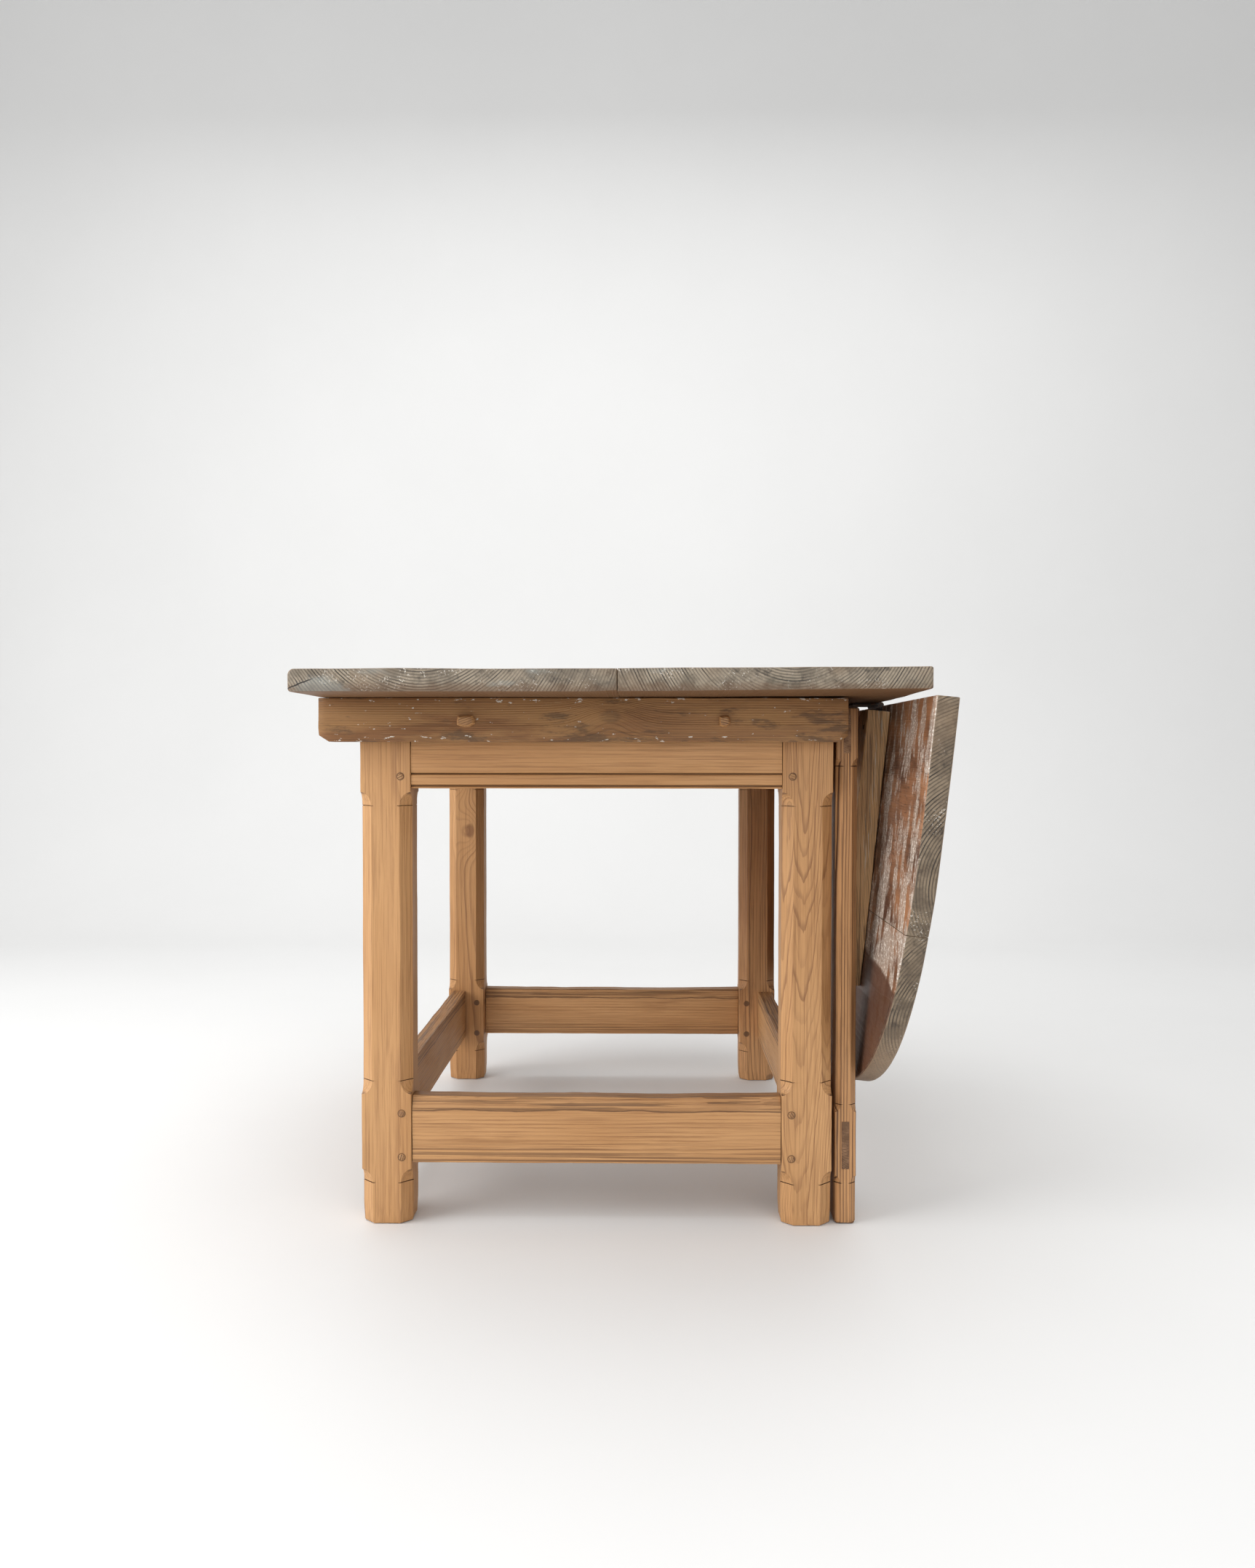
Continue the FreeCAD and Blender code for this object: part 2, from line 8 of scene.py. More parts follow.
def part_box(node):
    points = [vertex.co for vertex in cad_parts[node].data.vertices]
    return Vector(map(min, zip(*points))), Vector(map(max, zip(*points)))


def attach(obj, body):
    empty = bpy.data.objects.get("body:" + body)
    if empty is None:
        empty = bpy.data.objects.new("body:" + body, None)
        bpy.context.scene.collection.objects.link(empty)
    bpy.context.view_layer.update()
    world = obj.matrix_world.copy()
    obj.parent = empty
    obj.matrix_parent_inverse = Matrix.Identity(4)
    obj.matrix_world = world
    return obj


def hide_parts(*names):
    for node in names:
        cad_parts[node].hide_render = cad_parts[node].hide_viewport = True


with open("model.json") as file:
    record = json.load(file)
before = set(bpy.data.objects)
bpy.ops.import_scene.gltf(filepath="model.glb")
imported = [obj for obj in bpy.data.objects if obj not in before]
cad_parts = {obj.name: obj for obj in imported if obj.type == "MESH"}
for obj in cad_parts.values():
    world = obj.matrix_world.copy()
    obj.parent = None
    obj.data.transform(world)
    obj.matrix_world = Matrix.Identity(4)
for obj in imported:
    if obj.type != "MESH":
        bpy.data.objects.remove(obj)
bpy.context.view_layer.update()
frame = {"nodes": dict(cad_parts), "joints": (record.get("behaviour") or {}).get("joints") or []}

# ---- The table's own lines, read from the frame (metres) ----

LEAF_JOINT = {j["name"]: j for j in frame["joints"]}["leaf_hinge"]
HINGE = Vector(LEAF_JOINT["pos_m"])
HANG = math.radians(LEAF_JOINT["range_deg"][1])
APRON_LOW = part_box("apron_front")[0].z
STRETCHER = [corner.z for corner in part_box("stretcher_front")]
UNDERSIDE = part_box("top_board_1")[0].z
TOP_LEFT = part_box("top_board_1")[0].x
TOP_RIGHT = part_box("top_board_2")[1].x
MIDDLE_X = (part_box("leg_front_left")[0].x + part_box("leg_front_right")[1].x) / 2

# the stopped chamfers of the posts, and the blocks left square where the rails meet them
LEG_CHAMFER = 0.015
LEG_COVE = 0.018
LEG_BLOCK_BELOW_APRON = 0.023
LEG_BLOCK_ABOVE_STRETCHER = 0.021
LEG_BLOCK_BELOW_STRETCHER = 0.027
GATE_CHAMFER = 0.008
GATE_COVE = 0.010
GATE_BLOCK_AT_LOW_RAIL = 0.019
GATE_BLOCK_BELOW_TOP_RAIL = 0.017
NICK = 0.0035
WORN = 0.0016

# joints: how long a tenon is, and how much thinner and lower than its rail
TENON_LENGTH = {"apron": 0.030, "stretcher": 0.032}
TENON_THINNER = {"apron": 0.0085, "stretcher": 0.0105}
TENON_SHOULDER = {"apron": 0.012, "stretcher": 0.010}
GATE_TENON_WIDTH = 0.011
GATE_TENON_DROP = 0.004
PEG_PROUD = 0.0012
PEG_RADIUS = 0.00425
TREENAIL_SHANK = 0.0072

# the apron's bead: its two quirks, and the heights that need a line of the mesh
BEAD_LINES = (0.0038, 0.0206)
BEAD_MIDDLE = 0.0122
BEAD_HALF = 0.0084
BEAD_MESH = (0.0022, 0.0031, 0.0044, 0.0056, 0.0075, 0.012, 0.0165, 0.0188, 0.0199, 0.0212, 0.0224)
STRETCHER_BAND = 0.0155

BOARD_THINNING = 0.0022
BOARD_END = (0.5, 0.62)
BATTEN_CLIP_LONG = 0.014
BATTEN_CLIP_HIGH = 0.009
LEAF_RIM = 0.0045
LEAF_BATTEN_TAPER = 0.060
LEAF_BATTEN_CUT = 2 / 3
LEAF_NAIL_LENGTH = 0.049
NAIL_HEAD = (0.0038, 0.0012)
NAIL_SHANK = 0.0016

# heights on the leaf's inner face, hanging
SCRATCH_HEIGHT = 0.575
PAINT_HEIGHT = 0.40
SMOOTH_HEIGHT = 0.428

# the order of coordinates in a section and along it, for a bar that runs along each axis
ORDER = {"x": (1, 2, 0), "y": (2, 0, 1), "z": (0, 1, 2)}


def wobble(x, y=0.0, z=0.0):
    return noise.noise(Vector((x, y, z)))


def smooth(low, high, x):
    t = min(1.0, max(0.0, (x - low) / (high - low)))
    return t * t * (3 - 2 * t)


# ---- Bars: a section with four cut corners, carried along an axis ----


def ring(a0, a1, b0, b1, cuts, inner_a, inner_b):
    """The points of one section, counterclockwise. Each corner's cut is (along a, along b, roundness)."""
    (p0, q0, k0), (p1, q1, k1), (p2, q2, k2), (p3, q3, k3) = cuts
    points = []

    def side(fixed, low, high, values, along_a, back):
        run = [low] + [min(high, max(low, v)) for v in values] + [high]
        for v in reversed(run) if back else run:
            points.append((v, fixed) if along_a else (fixed, v))

    def corner(centre, start, end, roundness):
        for t in (0.12, 0.35, 0.65, 0.88):
            turn = t * math.pi / 2
            flat = [p + (q - p) * t for p, q in zip(start, end)]
            arc = [c + (p - c) * math.cos(turn) + (q - c) * math.sin(turn)
                   for c, p, q in zip(centre, start, end)]
            points.append(tuple(f + (r - f) * roundness for f, r in zip(flat, arc)))

    side(b0, a0 + p0, a1 - p1, inner_a, True, False)
    corner((a1 - p1, b0 + q1), (a1 - p1, b0), (a1, b0 + q1), k1)
    side(a1, b0 + q1, b1 - q2, inner_b, False, False)
    corner((a1 - p2, b1 - q2), (a1, b1 - q2), (a1 - p2, b1), k2)
    side(b1, a0 + p3, a1 - p2, inner_a, True, True)
    corner((a0 + p3, b1 - q3), (a0 + p3, b1), (a0, b1 - q3), k3)
    side(a0, b0 + q0, b1 - q3, inner_b, False, True)
    corner((a0 + p0, b0 + q0), (a0, b0 + q0), (a0 + p0, b0), k0)
    return points


def inner_lines(low, high, step, extra=()):
    """Where a side is divided: evenly, and wherever the outline needs a line of its own."""
    count = max(1, round((high - low) / step))
    even = [low + (high - low) * i / count for i in range(1, count)]
    return sorted([v for v in even if all(abs(v - e) > step * 0.2 for e in extra)] + list(extra))


def bar_mesh(low, high, axis, cuts, step=0.012, stations=(), extra_a=(), extra_b=(), end_round=0.001,
             limits=None, shape=None):
    """Vertices and faces of a bar from low to high. cuts(s) gives its four corner cuts at s; limits(s)
    may give other sides (a0, a1, b0, b1); shape(a, b, s) may move a point."""
    ia, ib, js = ORDER[axis]
    a0, a1, b0, b1, s0, s1 = low[ia], high[ia], low[ib], high[ib], low[js], high[js]
    inner_a = inner_lines(a0 + 0.004, a1 - 0.004, step, extra_a)
    inner_b = inner_lines(b0 + 0.004, b1 - 0.004, step, extra_b)
    count = max(2, round((s1 - s0) / step))
    length = s1 - s0 - 2 * end_round
    along = {round(s0 + end_round + length * i / count, 6): 0.0 for i in range(count + 1)}
    for s in stations:
        if s0 + end_round < s < s1 - end_round:
            along[round(s, 6)] = 0.0
    for turn in (0.5, 1.0):
        inset = end_round * (1 - math.cos(turn * math.pi / 2))
        ahead = end_round * (1 - math.sin(turn * math.pi / 2))
        along[round(s0 + ahead, 6)] = inset
        along[round(s1 - ahead, 6)] = inset
    verts, faces, size = [], [], 0
    for row, s in enumerate(sorted(along)):
        inset = along[s]
        l = limits(s) if limits else (a0, a1, b0, b1)
        points = ring(l[0] + inset, l[1] - inset, l[2] + inset, l[3] - inset, cuts(s), inner_a, inner_b)
        size = len(points)
        for a, b in points:
            along_s = s
            if shape:
                a, b, along_s = shape(a, b, s)
            place = [0.0, 0.0, 0.0]
            place[ia], place[ib], place[js] = a, b, along_s
            verts.append(tuple(place))
        if row:
            start = (row - 1) * size
            for i in range(size):
                j = (i + 1) % size
                faces.append((start + i, start + j, start + size + j, start + size + i))
    last = len(verts) - size
    faces.append(tuple(reversed(range(size))))
    faces.append(tuple(range(last, last + size)))
    return verts, faces


def even_cuts(radius=WORN, seed=0.0, rate=18.0, roundness=1.0):
    """Worn corners: a small round that comes and goes along the edge."""

    def cuts(s):
        result = []
        for k in range(4):
            w = wobble(s * rate, seed + 3.7 * k, 1.3)
            bite = max(0.0, wobble(s * rate * 0.4, seed + 9.1 * k, 7.7) - 0.35) * 2.2
            r = radius * (1 + 0.55 * w + bite)
            result.append((r, r, roundness))
        return result

    return cuts


def add(name, data):
    """A new object in the scene."""
    obj = bpy.data.objects.new(name, data)
    bpy.context.scene.collection.objects.link(obj)
    return obj


def put(node, meshes, body, slot, material, sway=0.00035, rate=22.0, matrix=None, sharp=40):
    """Makes the piece that stands for a CAD node from some meshes, gives its faces the sway of
    hand-planed wood, and rides it."""
    name = node + ("_iron" if slot == "old_iron" else "_wood")
    verts, faces = [], []
    for v, f in meshes:
        start = len(verts)
        verts += v
        faces += [tuple(i + start for i in face) for face in f]
    mesh = bpy.data.meshes.new(name)
    mesh.from_pydata(verts, [], faces)
    mesh.validate()
    mesh.update()
    if sway:
        seed = sum(ord(c) for c in name) * 0.37
        normals = [v.normal.copy() for v in mesh.vertices]
        for v, normal in zip(mesh.vertices, normals):
            p = v.co * rate
            lift = wobble(p.x + seed, p.y, p.z) + 0.45 * wobble(p.x * 3.1, p.y * 3.1 + seed, p.z * 3.1)
            v.co += normal * (sway * (lift - 0.9))
    if matrix:
        mesh.transform(matrix)
    mesh.polygons.foreach_set("use_smooth", [True] * len(mesh.polygons))
    mesh.set_sharp_from_angle(angle=math.radians(sharp))
    mesh.materials.append(material)
    obj = add(name, mesh)
    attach(obj, body)
    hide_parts(node)


# ---- Materials ----


class Tree:
    """Short calls for building a material's nodes."""

    def __init__(self, name):
        self.material = bpy.data.materials.new(name)
        self.material.use_nodes = True
        self.tree = self.material.node_tree
        self.tree.nodes.clear()
        self.out = self.tree.nodes.new("ShaderNodeOutputMaterial")
        self.shader = self.tree.nodes.new("ShaderNodeBsdfPrincipled")
        self.tree.links.new(self.shader.outputs[0], self.out.inputs[0])

    def set(self, socket, value):
        if isinstance(value, bpy.types.NodeSocket):
            self.tree.links.new(value, socket)
        elif value is not None:
            socket.default_value = value

    def node(self, kind, inputs=(), out=0, **props):
        n = self.tree.nodes.new(kind)
        for key, value in props.items():
            setattr(n, key, value)
        for key, value in dict(inputs).items():
            self.set(n.inputs[key], value)
        return n.outputs[out]

    def math(self, operation, a, b=None, c=None, clamp=False):
        return self.node("ShaderNodeMath", {0: a, 1: b, 2: c}, operation=operation, use_clamp=clamp)

    def times(self, a, b):
        return self.math("MULTIPLY", a, b)

    def madd(self, a, b, c):
        """a times b plus c."""
        return self.math("MULTIPLY_ADD", a, b, c)

    def minus(self, a, b):
        return self.math("SUBTRACT", a, b)

    def apart(self, a, b):
        return self.math("ABSOLUTE", self.minus(a, b))

    def highest(self, values):
        top = values[0]
        for value in values[1:]:
            top = self.math("MAXIMUM", top, value)
        return top

    def place(self):
        return self.node("ShaderNodeTexCoord", out=3)

    def parts(self, vector):
        return self.node("ShaderNodeSeparateXYZ", {0: vector}).node.outputs

    def facing(self, k):
        """The surface direction along axis k."""
        return self.parts(self.node("ShaderNodeTexCoord", out=1))[k]

    def distance(self, place, point, weights):
        """How far place is from a point, with each axis weighted."""
        gap = self.node("ShaderNodeVectorMath", {0: place, 1: point}, operation="SUBTRACT")
        gap = self.node("ShaderNodeVectorMath", {0: gap, 1: weights}, operation="MULTIPLY")
        return self.node("ShaderNodeVectorMath", {0: gap}, 1, operation="LENGTH")

    def scaled(self, vector, scale, shift=(0, 0, 0)):
        return self.node("ShaderNodeMapping", {"Vector": vector, "Scale": scale, "Location": shift})

    def noise(self, vector, scale=1.0, detail=3.0, rough=0.55, out=0):
        if isinstance(scale, tuple):
            vector, scale = self.scaled(vector, scale), 1.0
        inputs = {"Vector": vector, "Scale": scale, "Detail": detail, "Roughness": rough}
        return self.node("ShaderNodeTexNoise", inputs, out)

    def step(self, value, low, high, to_low=0.0, to_high=1.0):
        inputs = {"Value": value, 1: low, 2: high, 3: to_low, 4: to_high}
        return self.node("ShaderNodeMapRange", inputs, interpolation_type="SMOOTHSTEP")

    def mix(self, share, a, b, blend="MIX"):
        n = self.tree.nodes.new("ShaderNodeMix")
        n.data_type = "RGBA"
        n.blend_type = blend
        self.set(n.inputs[0], share)
        self.set(n.inputs[6], a if not isinstance(a, tuple) else (*a, 1.0))
        self.set(n.inputs[7], b if not isinstance(b, tuple) else (*b, 1.0))
        return n.outputs[2]

    def finish(self, colour, roughness, height=None, depth=0.0005, strength=0.6):
        self.set(self.shader.inputs["Base Color"], colour)
        self.set(self.shader.inputs["Roughness"], roughness)
        if height is not None:
            inputs = {"Height": height, "Distance": depth, "Strength": strength}
            bump = self.node("ShaderNodeBump", inputs)
            self.set(self.shader.inputs["Normal"], bump)
        return self.material


# wood: its light, middle and dark tones; its ends: pale, deep and the lines of the rings
HONEY = ((0.56, 0.305, 0.128), (0.46, 0.230, 0.084), (0.19, 0.072, 0.021))
RED = ((0.54, 0.28, 0.115), (0.38, 0.17, 0.06), (0.060, 0.021, 0.008))
TAN = ((0.31, 0.150, 0.052), (0.22, 0.092, 0.026), (0.065, 0.025, 0.008))
# the leaf battens' tones are paler than their wood: painted light, lifting them out of the shade they hang
# in
DRY_PAINTED_LIGHT = ((0.80, 0.50, 0.24), (0.62, 0.36, 0.16), (0.12, 0.055, 0.022))
SCRUBBED = ((0.33, 0.235, 0.15), (0.24, 0.16, 0.095), (0.10, 0.058, 0.033))
GREY_END = ((0.30, 0.245, 0.178), (0.165, 0.132, 0.094), (0.024, 0.017, 0.012))
LEAF_END = ((0.24, 0.18, 0.118), (0.13, 0.094, 0.060), (0.020, 0.013, 0.009))
BROWN_END = ((0.33, 0.18, 0.09), (0.16, 0.08, 0.035), (0.06, 0.022, 0.010))
PEG_END = ((0.43, 0.235, 0.10), (0.26, 0.125, 0.05), (0.12, 0.05, 0.02))


def wood(name, axis, pith, colours, end=BROWN_END, slope=(0.0, 0.0), ring_size=0.0036, lines=0.6,
         wander=0.012, seed=0.0, soil=0.25, flecks=0.0, knots=(), overlay=None, raised=0.5,
         ripples=0.0016):
    """Solid wood: yearly rings around a pith line that runs along axis, so faces show grain and ends
    show arcs. pith is where that line crosses the section, in the row frame."""
    t = Tree(name)
    light, mid, dark = colours
    pale, deep, line = end
    ia, ib, js = ORDER[axis]
    place = t.place()
    split = t.parts(place)
    a, b, s = split[ia], split[ib], split[js]

    def grain(across, along, **look):
        """Noise drawn out along the wood."""
        scale = tuple(along if k == js else across for k in range(3))
        return t.noise(t.scaled(place, scale, (seed, seed * 0.7, seed * 1.3)), **look)

    drift = grain(5.0, 1.6, detail=2.0, out=1)
    sway = t.node("ShaderNodeSeparateColor", {0: drift}).node.outputs
    distance = None
    for value, centre, lean, shift in zip((a, b), pith, slope, sway):
        offset = t.minus(t.madd(s, -lean, value), centre)
        offset = t.madd(shift, wander, t.minus(offset, wander / 2))
        square = t.times(offset, offset)
        distance = square if distance is None else t.math("ADD", distance, square)
    distance = t.math("SQRT", distance)
    ripple = grain(60.0, 7.0)
    distance = t.madd(ripple, ripples, distance)
    cores = []
    weights = tuple(0.62 if k == js else 1.0 for k in range(3))
    for *centre, size in knots:
        far = t.distance(place, tuple(centre), weights)
        fall = t.times(t.times(far, far), -1 / (size * 2.4) ** 2)
        pull = t.math("POWER", 2.718, fall)
        distance = t.madd(pull, size * 1.7, distance)
        cores.append(t.step(far, size * 0.55, size, 1.0, 0.0))
    count = t.math("DIVIDE", distance, ring_size)
    part = t.math("FRACT", count)
    whole = t.math("FLOOR", count)
    year = t.node("ShaderNodeTexWhiteNoise", {"W": whole}, noise_dimensions="1D")
    late = t.times(t.step(part, 0.50, 0.88), t.step(part, 0.93, 1.0, 1.0, 0.0))
    late = t.times(late, t.step(year, 0.0, 1.0, 0.30, 1.0))
    fibre = grain(520.0, 9.0, rough=0.6)
    fine = grain(1500.0, 30.0, detail=2.0)
    broad = grain(9.0, 1.7)
    blotch = grain(26.0, 6.0, detail=5.0, rough=0.65)
    long = t.mix(t.step(broad, 0.35, 0.65), mid, light)
    long = t.mix(t.times(late, lines), long, dark)
    long = t.mix(t.step(fibre, 0.45, 0.72, 0.0, 0.42), long, dark)
    long = t.mix(t.step(fine, 0.5, 0.8, 0.0, 0.25), long, light)
    streak = grain(430.0, 3.6, rough=0.6)
    long = t.mix(t.step(streak, 0.58, 0.66, 0.0, 0.55 * lines + 0.10), long, dark)
    long = t.mix(t.step(blotch, 0.52, 0.78, 0.0, soil), long, dark)
    if cores:
        long = t.mix(t.times(t.highest(cores), 0.75), long, dark)
    cloud = t.noise(place, scale=30.0, detail=7.0, rough=0.68)
    butt = t.mix(t.step(cloud, 0.40, 0.60), deep, pale)
    clear = t.step(t.noise(place, scale=15.0, detail=2.0), 0.38, 0.52, 0.40, 1.0)
    arcs = t.times(t.step(part, 0.46, 0.70), t.step(part, 0.90, 1.0, 1.0, 0.0))
    arcs = t.times(arcs, t.step(year, 0.0, 1.0, 0.5, 1.0))
    butt = t.mix(t.times(arcs, clear), butt, line)
    grime = t.noise(place, scale=75.0, detail=6.0, rough=0.7)
    butt = t.mix(t.step(grime, 0.54, 0.68, 0.0, 0.6), butt, line)
    warm = t.noise(place, scale=11.0)
    butt = t.mix(t.step(warm, 0.55, 0.75, 0.0, 0.45), butt, mid)
    if flecks:
        speck = grain(420.0, 420.0, detail=2.0, rough=0.5)
        where = t.noise(place, scale=24.0, detail=4.0)
        paint = t.times(t.step(speck, 0.61, 0.65), t.step(where, 0.50, 0.60))
        butt = t.mix(t.times(paint, flecks), butt, (0.62, 0.57, 0.50))
    ends = t.step(t.math("ABSOLUTE", t.facing(js)), 0.55, 0.85)
    colour = t.mix(ends, long, butt)
    height = t.madd(late, raised, t.times(fibre, 0.45))
    height = t.madd(t.times(arcs, ends), 0.8, height)
    roughness = t.madd(late, -0.12, t.step(blotch, 0.3, 0.8, 0.55, 0.71))
    if overlay:
        colour, height = overlay(t, place, colour, height, grain)
    return t.finish(colour, roughness, height, depth=0.0009, strength=0.55)


def pale_cracks(t, place, colour, height, grain):
    """Old paint left in the cracks of a dry batten."""
    crack = grain(430.0, 13.0, rough=0.6)
    where = t.step(grain(22.0, 7.0), 0.42, 0.56)
    mask = t.times(t.step(crack, 0.60, 0.64), where)
    colour = t.mix(t.times(mask, 0.75), colour, (0.70, 0.62, 0.50))
    dark = t.step(grain(300.0, 6.0), 0.56, 0.62, 0.0, 0.6)
    colour = t.mix(dark, colour, (0.10, 0.045, 0.018))
    return colour, t.madd(mask, -0.8, height)


def batten_wear_and_highlights(t, place, colour, height, grain):
    """A top batten: golden where hands rub it, less so towards its top, grimy, with long pale streaks that
    are painted highlights, chipped and flecked along its edges.
    """
    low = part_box("top_batten_front")[0].z
    up = t.math("DIVIDE", t.minus(t.parts(place)[2], low), UNDERSIDE - low)
    rub = grain(30.0, 5.0, detail=5.0, rough=0.6)
    rub = t.times(t.step(rub, 0.42, 0.60), t.step(up, 0.55, 0.95, 1.0, 0.35))
    colour = t.mix(t.times(rub, 0.6), colour, (0.37, 0.195, 0.068))
    grime = grain(46.0, 11.0, detail=6.0, rough=0.7)
    colour = t.mix(t.step(grime, 0.54, 0.64, 0.0, 0.62), colour, (0.060, 0.032, 0.015))
    # long pale streaks along the batten: painted highlights
    highlight_streaks = t.noise(place, (14.0, 60.0, 700.0), detail=2.0)
    where = t.step(t.noise(place, scale=22.0, detail=4.0), 0.50, 0.60)
    highlight_streaks = t.times(t.step(highlight_streaks, 0.64, 0.68), where)
    colour = t.mix(t.times(highlight_streaks, 0.55), colour, (0.46, 0.30, 0.16))
    flake = grain(210.0, 80.0, rough=0.6)
    edge = t.step(t.apart(up, 0.52), 0.28, 0.46, 0.0, 0.075)
    mask = t.step(t.math("ADD", flake, edge), 0.70, 0.72)
    colour = t.mix(t.times(mask, 0.85), colour, (0.66, 0.60, 0.52))
    return colour, t.madd(mask, 0.5, height)


def quirk_shade(t, place, colour, height, grain):
    """Painted shade in the two quirks beside an apron's bead."""
    z = t.parts(place)[2]
    groove_shade = [t.step(t.apart(z, APRON_LOW + up), 0.0005, 0.0015, 1.0, 0.0) for up in BEAD_LINES]
    # the quirks are painted dark: painted shade
    colour = t.mix(t.times(t.highest(groove_shade), 0.82), colour, (0.045, 0.020, 0.008))
    return colour, height


def worn_band(t, place, colour, height, grain):
    """The scuffed upper band of a stretcher, where the open grain has darkened."""
    z = t.parts(place)[2]
    ragged = t.madd(grain(40.0, 14.0), 0.008, z)
    line = STRETCHER[1] - STRETCHER_BAND
    band = t.step(ragged, line - 0.001, line + 0.003)
    open_grain = t.step(grain(420.0, 4.0, detail=2.0, rough=0.5), 0.50, 0.56)
    dark = t.times(band, t.madd(open_grain, 0.55, 0.12))
    colour = t.mix(dark, colour, (0.10, 0.045, 0.018))
    edge = t.step(t.apart(ragged, line), 0.0005, 0.0016, 0.75, 0.0)
    colour = t.mix(edge, colour, (0.09, 0.038, 0.014))
    foot = t.step(z, STRETCHER[0] + 0.006, STRETCHER[0] + 0.040, 1.0, 0.0)
    lines = t.step(grain(520.0, 2.5, detail=2.0, rough=0.5), 0.53, 0.57)
    colour = t.mix(t.times(t.times(lines, foot), 0.6), colour, (0.11, 0.048, 0.018))
    return colour, t.madd(t.times(band, open_grain), 0.8, height)


def worn_paint_and_shade(t, place, colour, height, grain):
    """The leaf's inner face: scrubbed red-brown boards with grey-mauve paint left in the grain, cross
    scratches, and a smooth dark patch low down that is partly painted shade."""
    y, z = t.parts(place)[1:]
    face = t.step(t.facing(0), -0.75, -0.5, 1.0, 0.0)
    base = t.step(grain(14.0, 5.0, detail=4.0), 0.35, 0.65)
    base = t.mix(base, (0.085, 0.032, 0.014), (0.37, 0.165, 0.072))
    # fine dark scratches across the boards, thickest in a band halfway down
    cross = t.noise(place, (30.0, 40.0, 620.0), rough=0.6)
    band = t.step(t.apart(z, SCRATCH_HEIGHT), 0.05, 0.12, 1.0, 0.25)
    cross = t.times(t.step(cross, 0.57, 0.63), band)
    down = t.noise(place, (30.0, 420.0, 9.0), rough=0.6)
    film = t.noise(place, (20.0, 34.0, 12.0), detail=8.0, rough=0.72)
    lower = t.step(z, PAINT_HEIGHT, PAINT_HEIGHT + 0.13, 0.07, 0.0)
    film = t.math("ADD", film, lower)
    film = t.times(t.step(film, 0.49, 0.56), t.step(down, 0.36, 0.56, 0.45, 1.0))
    white = t.noise(place, (90.0, 150.0, 260.0), detail=4.0, rough=0.7)
    paint = t.mix(t.step(white, 0.50, 0.62), (0.46, 0.37, 0.30), (0.88, 0.83, 0.75))
    # below a ragged line the paint film is left off and the wood is smooth and dark; the darkness is partly
    # painted shade
    edge = t.madd(y, -0.10, z)
    edge = t.madd(t.noise(place, scale=9.0, detail=5.0), 0.05, edge)
    low = t.step(edge, SMOOTH_HEIGHT, SMOOTH_HEIGHT + 0.008, 1.0, 0.0)
    film = t.times(film, t.minus(1.0, t.times(low, 0.95)))
    base = t.mix(t.times(low, 0.88), base, (0.080, 0.028, 0.012))
    inner = t.mix(t.times(film, 0.92), base, paint)
    inner = t.mix(t.times(cross, 0.6), inner, (0.075, 0.035, 0.018))
    colour = t.mix(face, colour, inner)
    height = t.madd(t.times(film, face), 0.7, height)
    return colour, height


def iron():
    """Old forged iron, brown-black with a little rust."""
    t = Tree("old_iron")
    place = t.place()
    rust = t.noise(place, scale=160.0, detail=6.0, rough=0.7)
    pits = t.noise(place, scale=900.0)
    colour = t.mix(t.step(rust, 0.45, 0.68), (0.045, 0.038, 0.034), (0.16, 0.07, 0.035))
    t.shader.inputs["Metallic"].default_value = 0.75
    return t.finish(colour, t.step(rust, 0.3, 0.7, 0.42, 0.75), t.math("ADD", pits, rust), 0.0004, 0.5)


# ---- Frame ----


def chamfer_profile(size, cove, runs, seed):
    """Corner cuts along a post: worn corners, and stopped chamfers with scooped ends and saw nicks.
    runs is (bottom, top, scooped foot)."""
    worn = even_cuts(WORN, seed)

    def cuts(s):
        base = worn(s)
        depth = 0.0
        for bottom, top, scooped in runs:
            if bottom <= s <= top:
                nick = NICK if min(abs(s - top), abs(s - bottom) if scooped else 1) < 0.0009 else 0.0
                depth = size + nick
            elif top < s < top + cove:
                depth = size * math.sqrt(1 - ((s - top) / cove) ** 2)
            elif scooped and bottom - cove < s < bottom:
                depth = size * math.sqrt(1 - ((bottom - s) / cove) ** 2)
        if depth <= 0:
            return base
        result = []
        for k, (p, q, _) in enumerate(base):
            d = depth * (1 + 0.05 * wobble(s * 14, seed + k * 2.3))
            result.append((max(p, d), max(q, d), max(0.0, 1 - depth / size) * 0.7 + 0.1))
        return result

    stations = []
    for bottom, top, scooped in runs:
        ends = [(top, 1)] + ([(bottom, -1)] if scooped else [])
        for z, way in ends:
            stations += [z - way * 0.0010, z - way * 0.0008, z, z + way * 0.0001]
            stations += [z + way * cove * math.sin(math.pi / 2 * i / 9) for i in range(1, 10)]
            stations += [z + way * (cove + 0.0004)]
    return cuts, sorted(stations)


def leg(name, material, seed):
    low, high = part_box(name)
    runs = ((STRETCHER[1] + LEG_BLOCK_ABOVE_STRETCHER, APRON_LOW - LEG_BLOCK_BELOW_APRON, True),
            (0.0, STRETCHER[0] - LEG_BLOCK_BELOW_STRETCHER, False))
    cuts, stations = chamfer_profile(LEG_CHAMFER, LEG_COVE, runs, seed)

    def limits(s):
        # the sides sway a little along the post, and the foot is worn in
        foot = 0.0012 * (1 - smooth(0.0, 0.03, s))
        sway = [0.0006 * wobble(s * 5, seed + k) for k in range(4)]
        return (low.x + foot + abs(sway[0]), high.x - foot - abs(sway[1]),
                low.y + foot + abs(sway[2]), high.y - foot - abs(sway[3]))

    mesh = bar_mesh(low, high, "z", cuts, 0.010, stations, end_round=0.003, limits=limits)
    put(name, [mesh], "frame", "leg_pine", material)


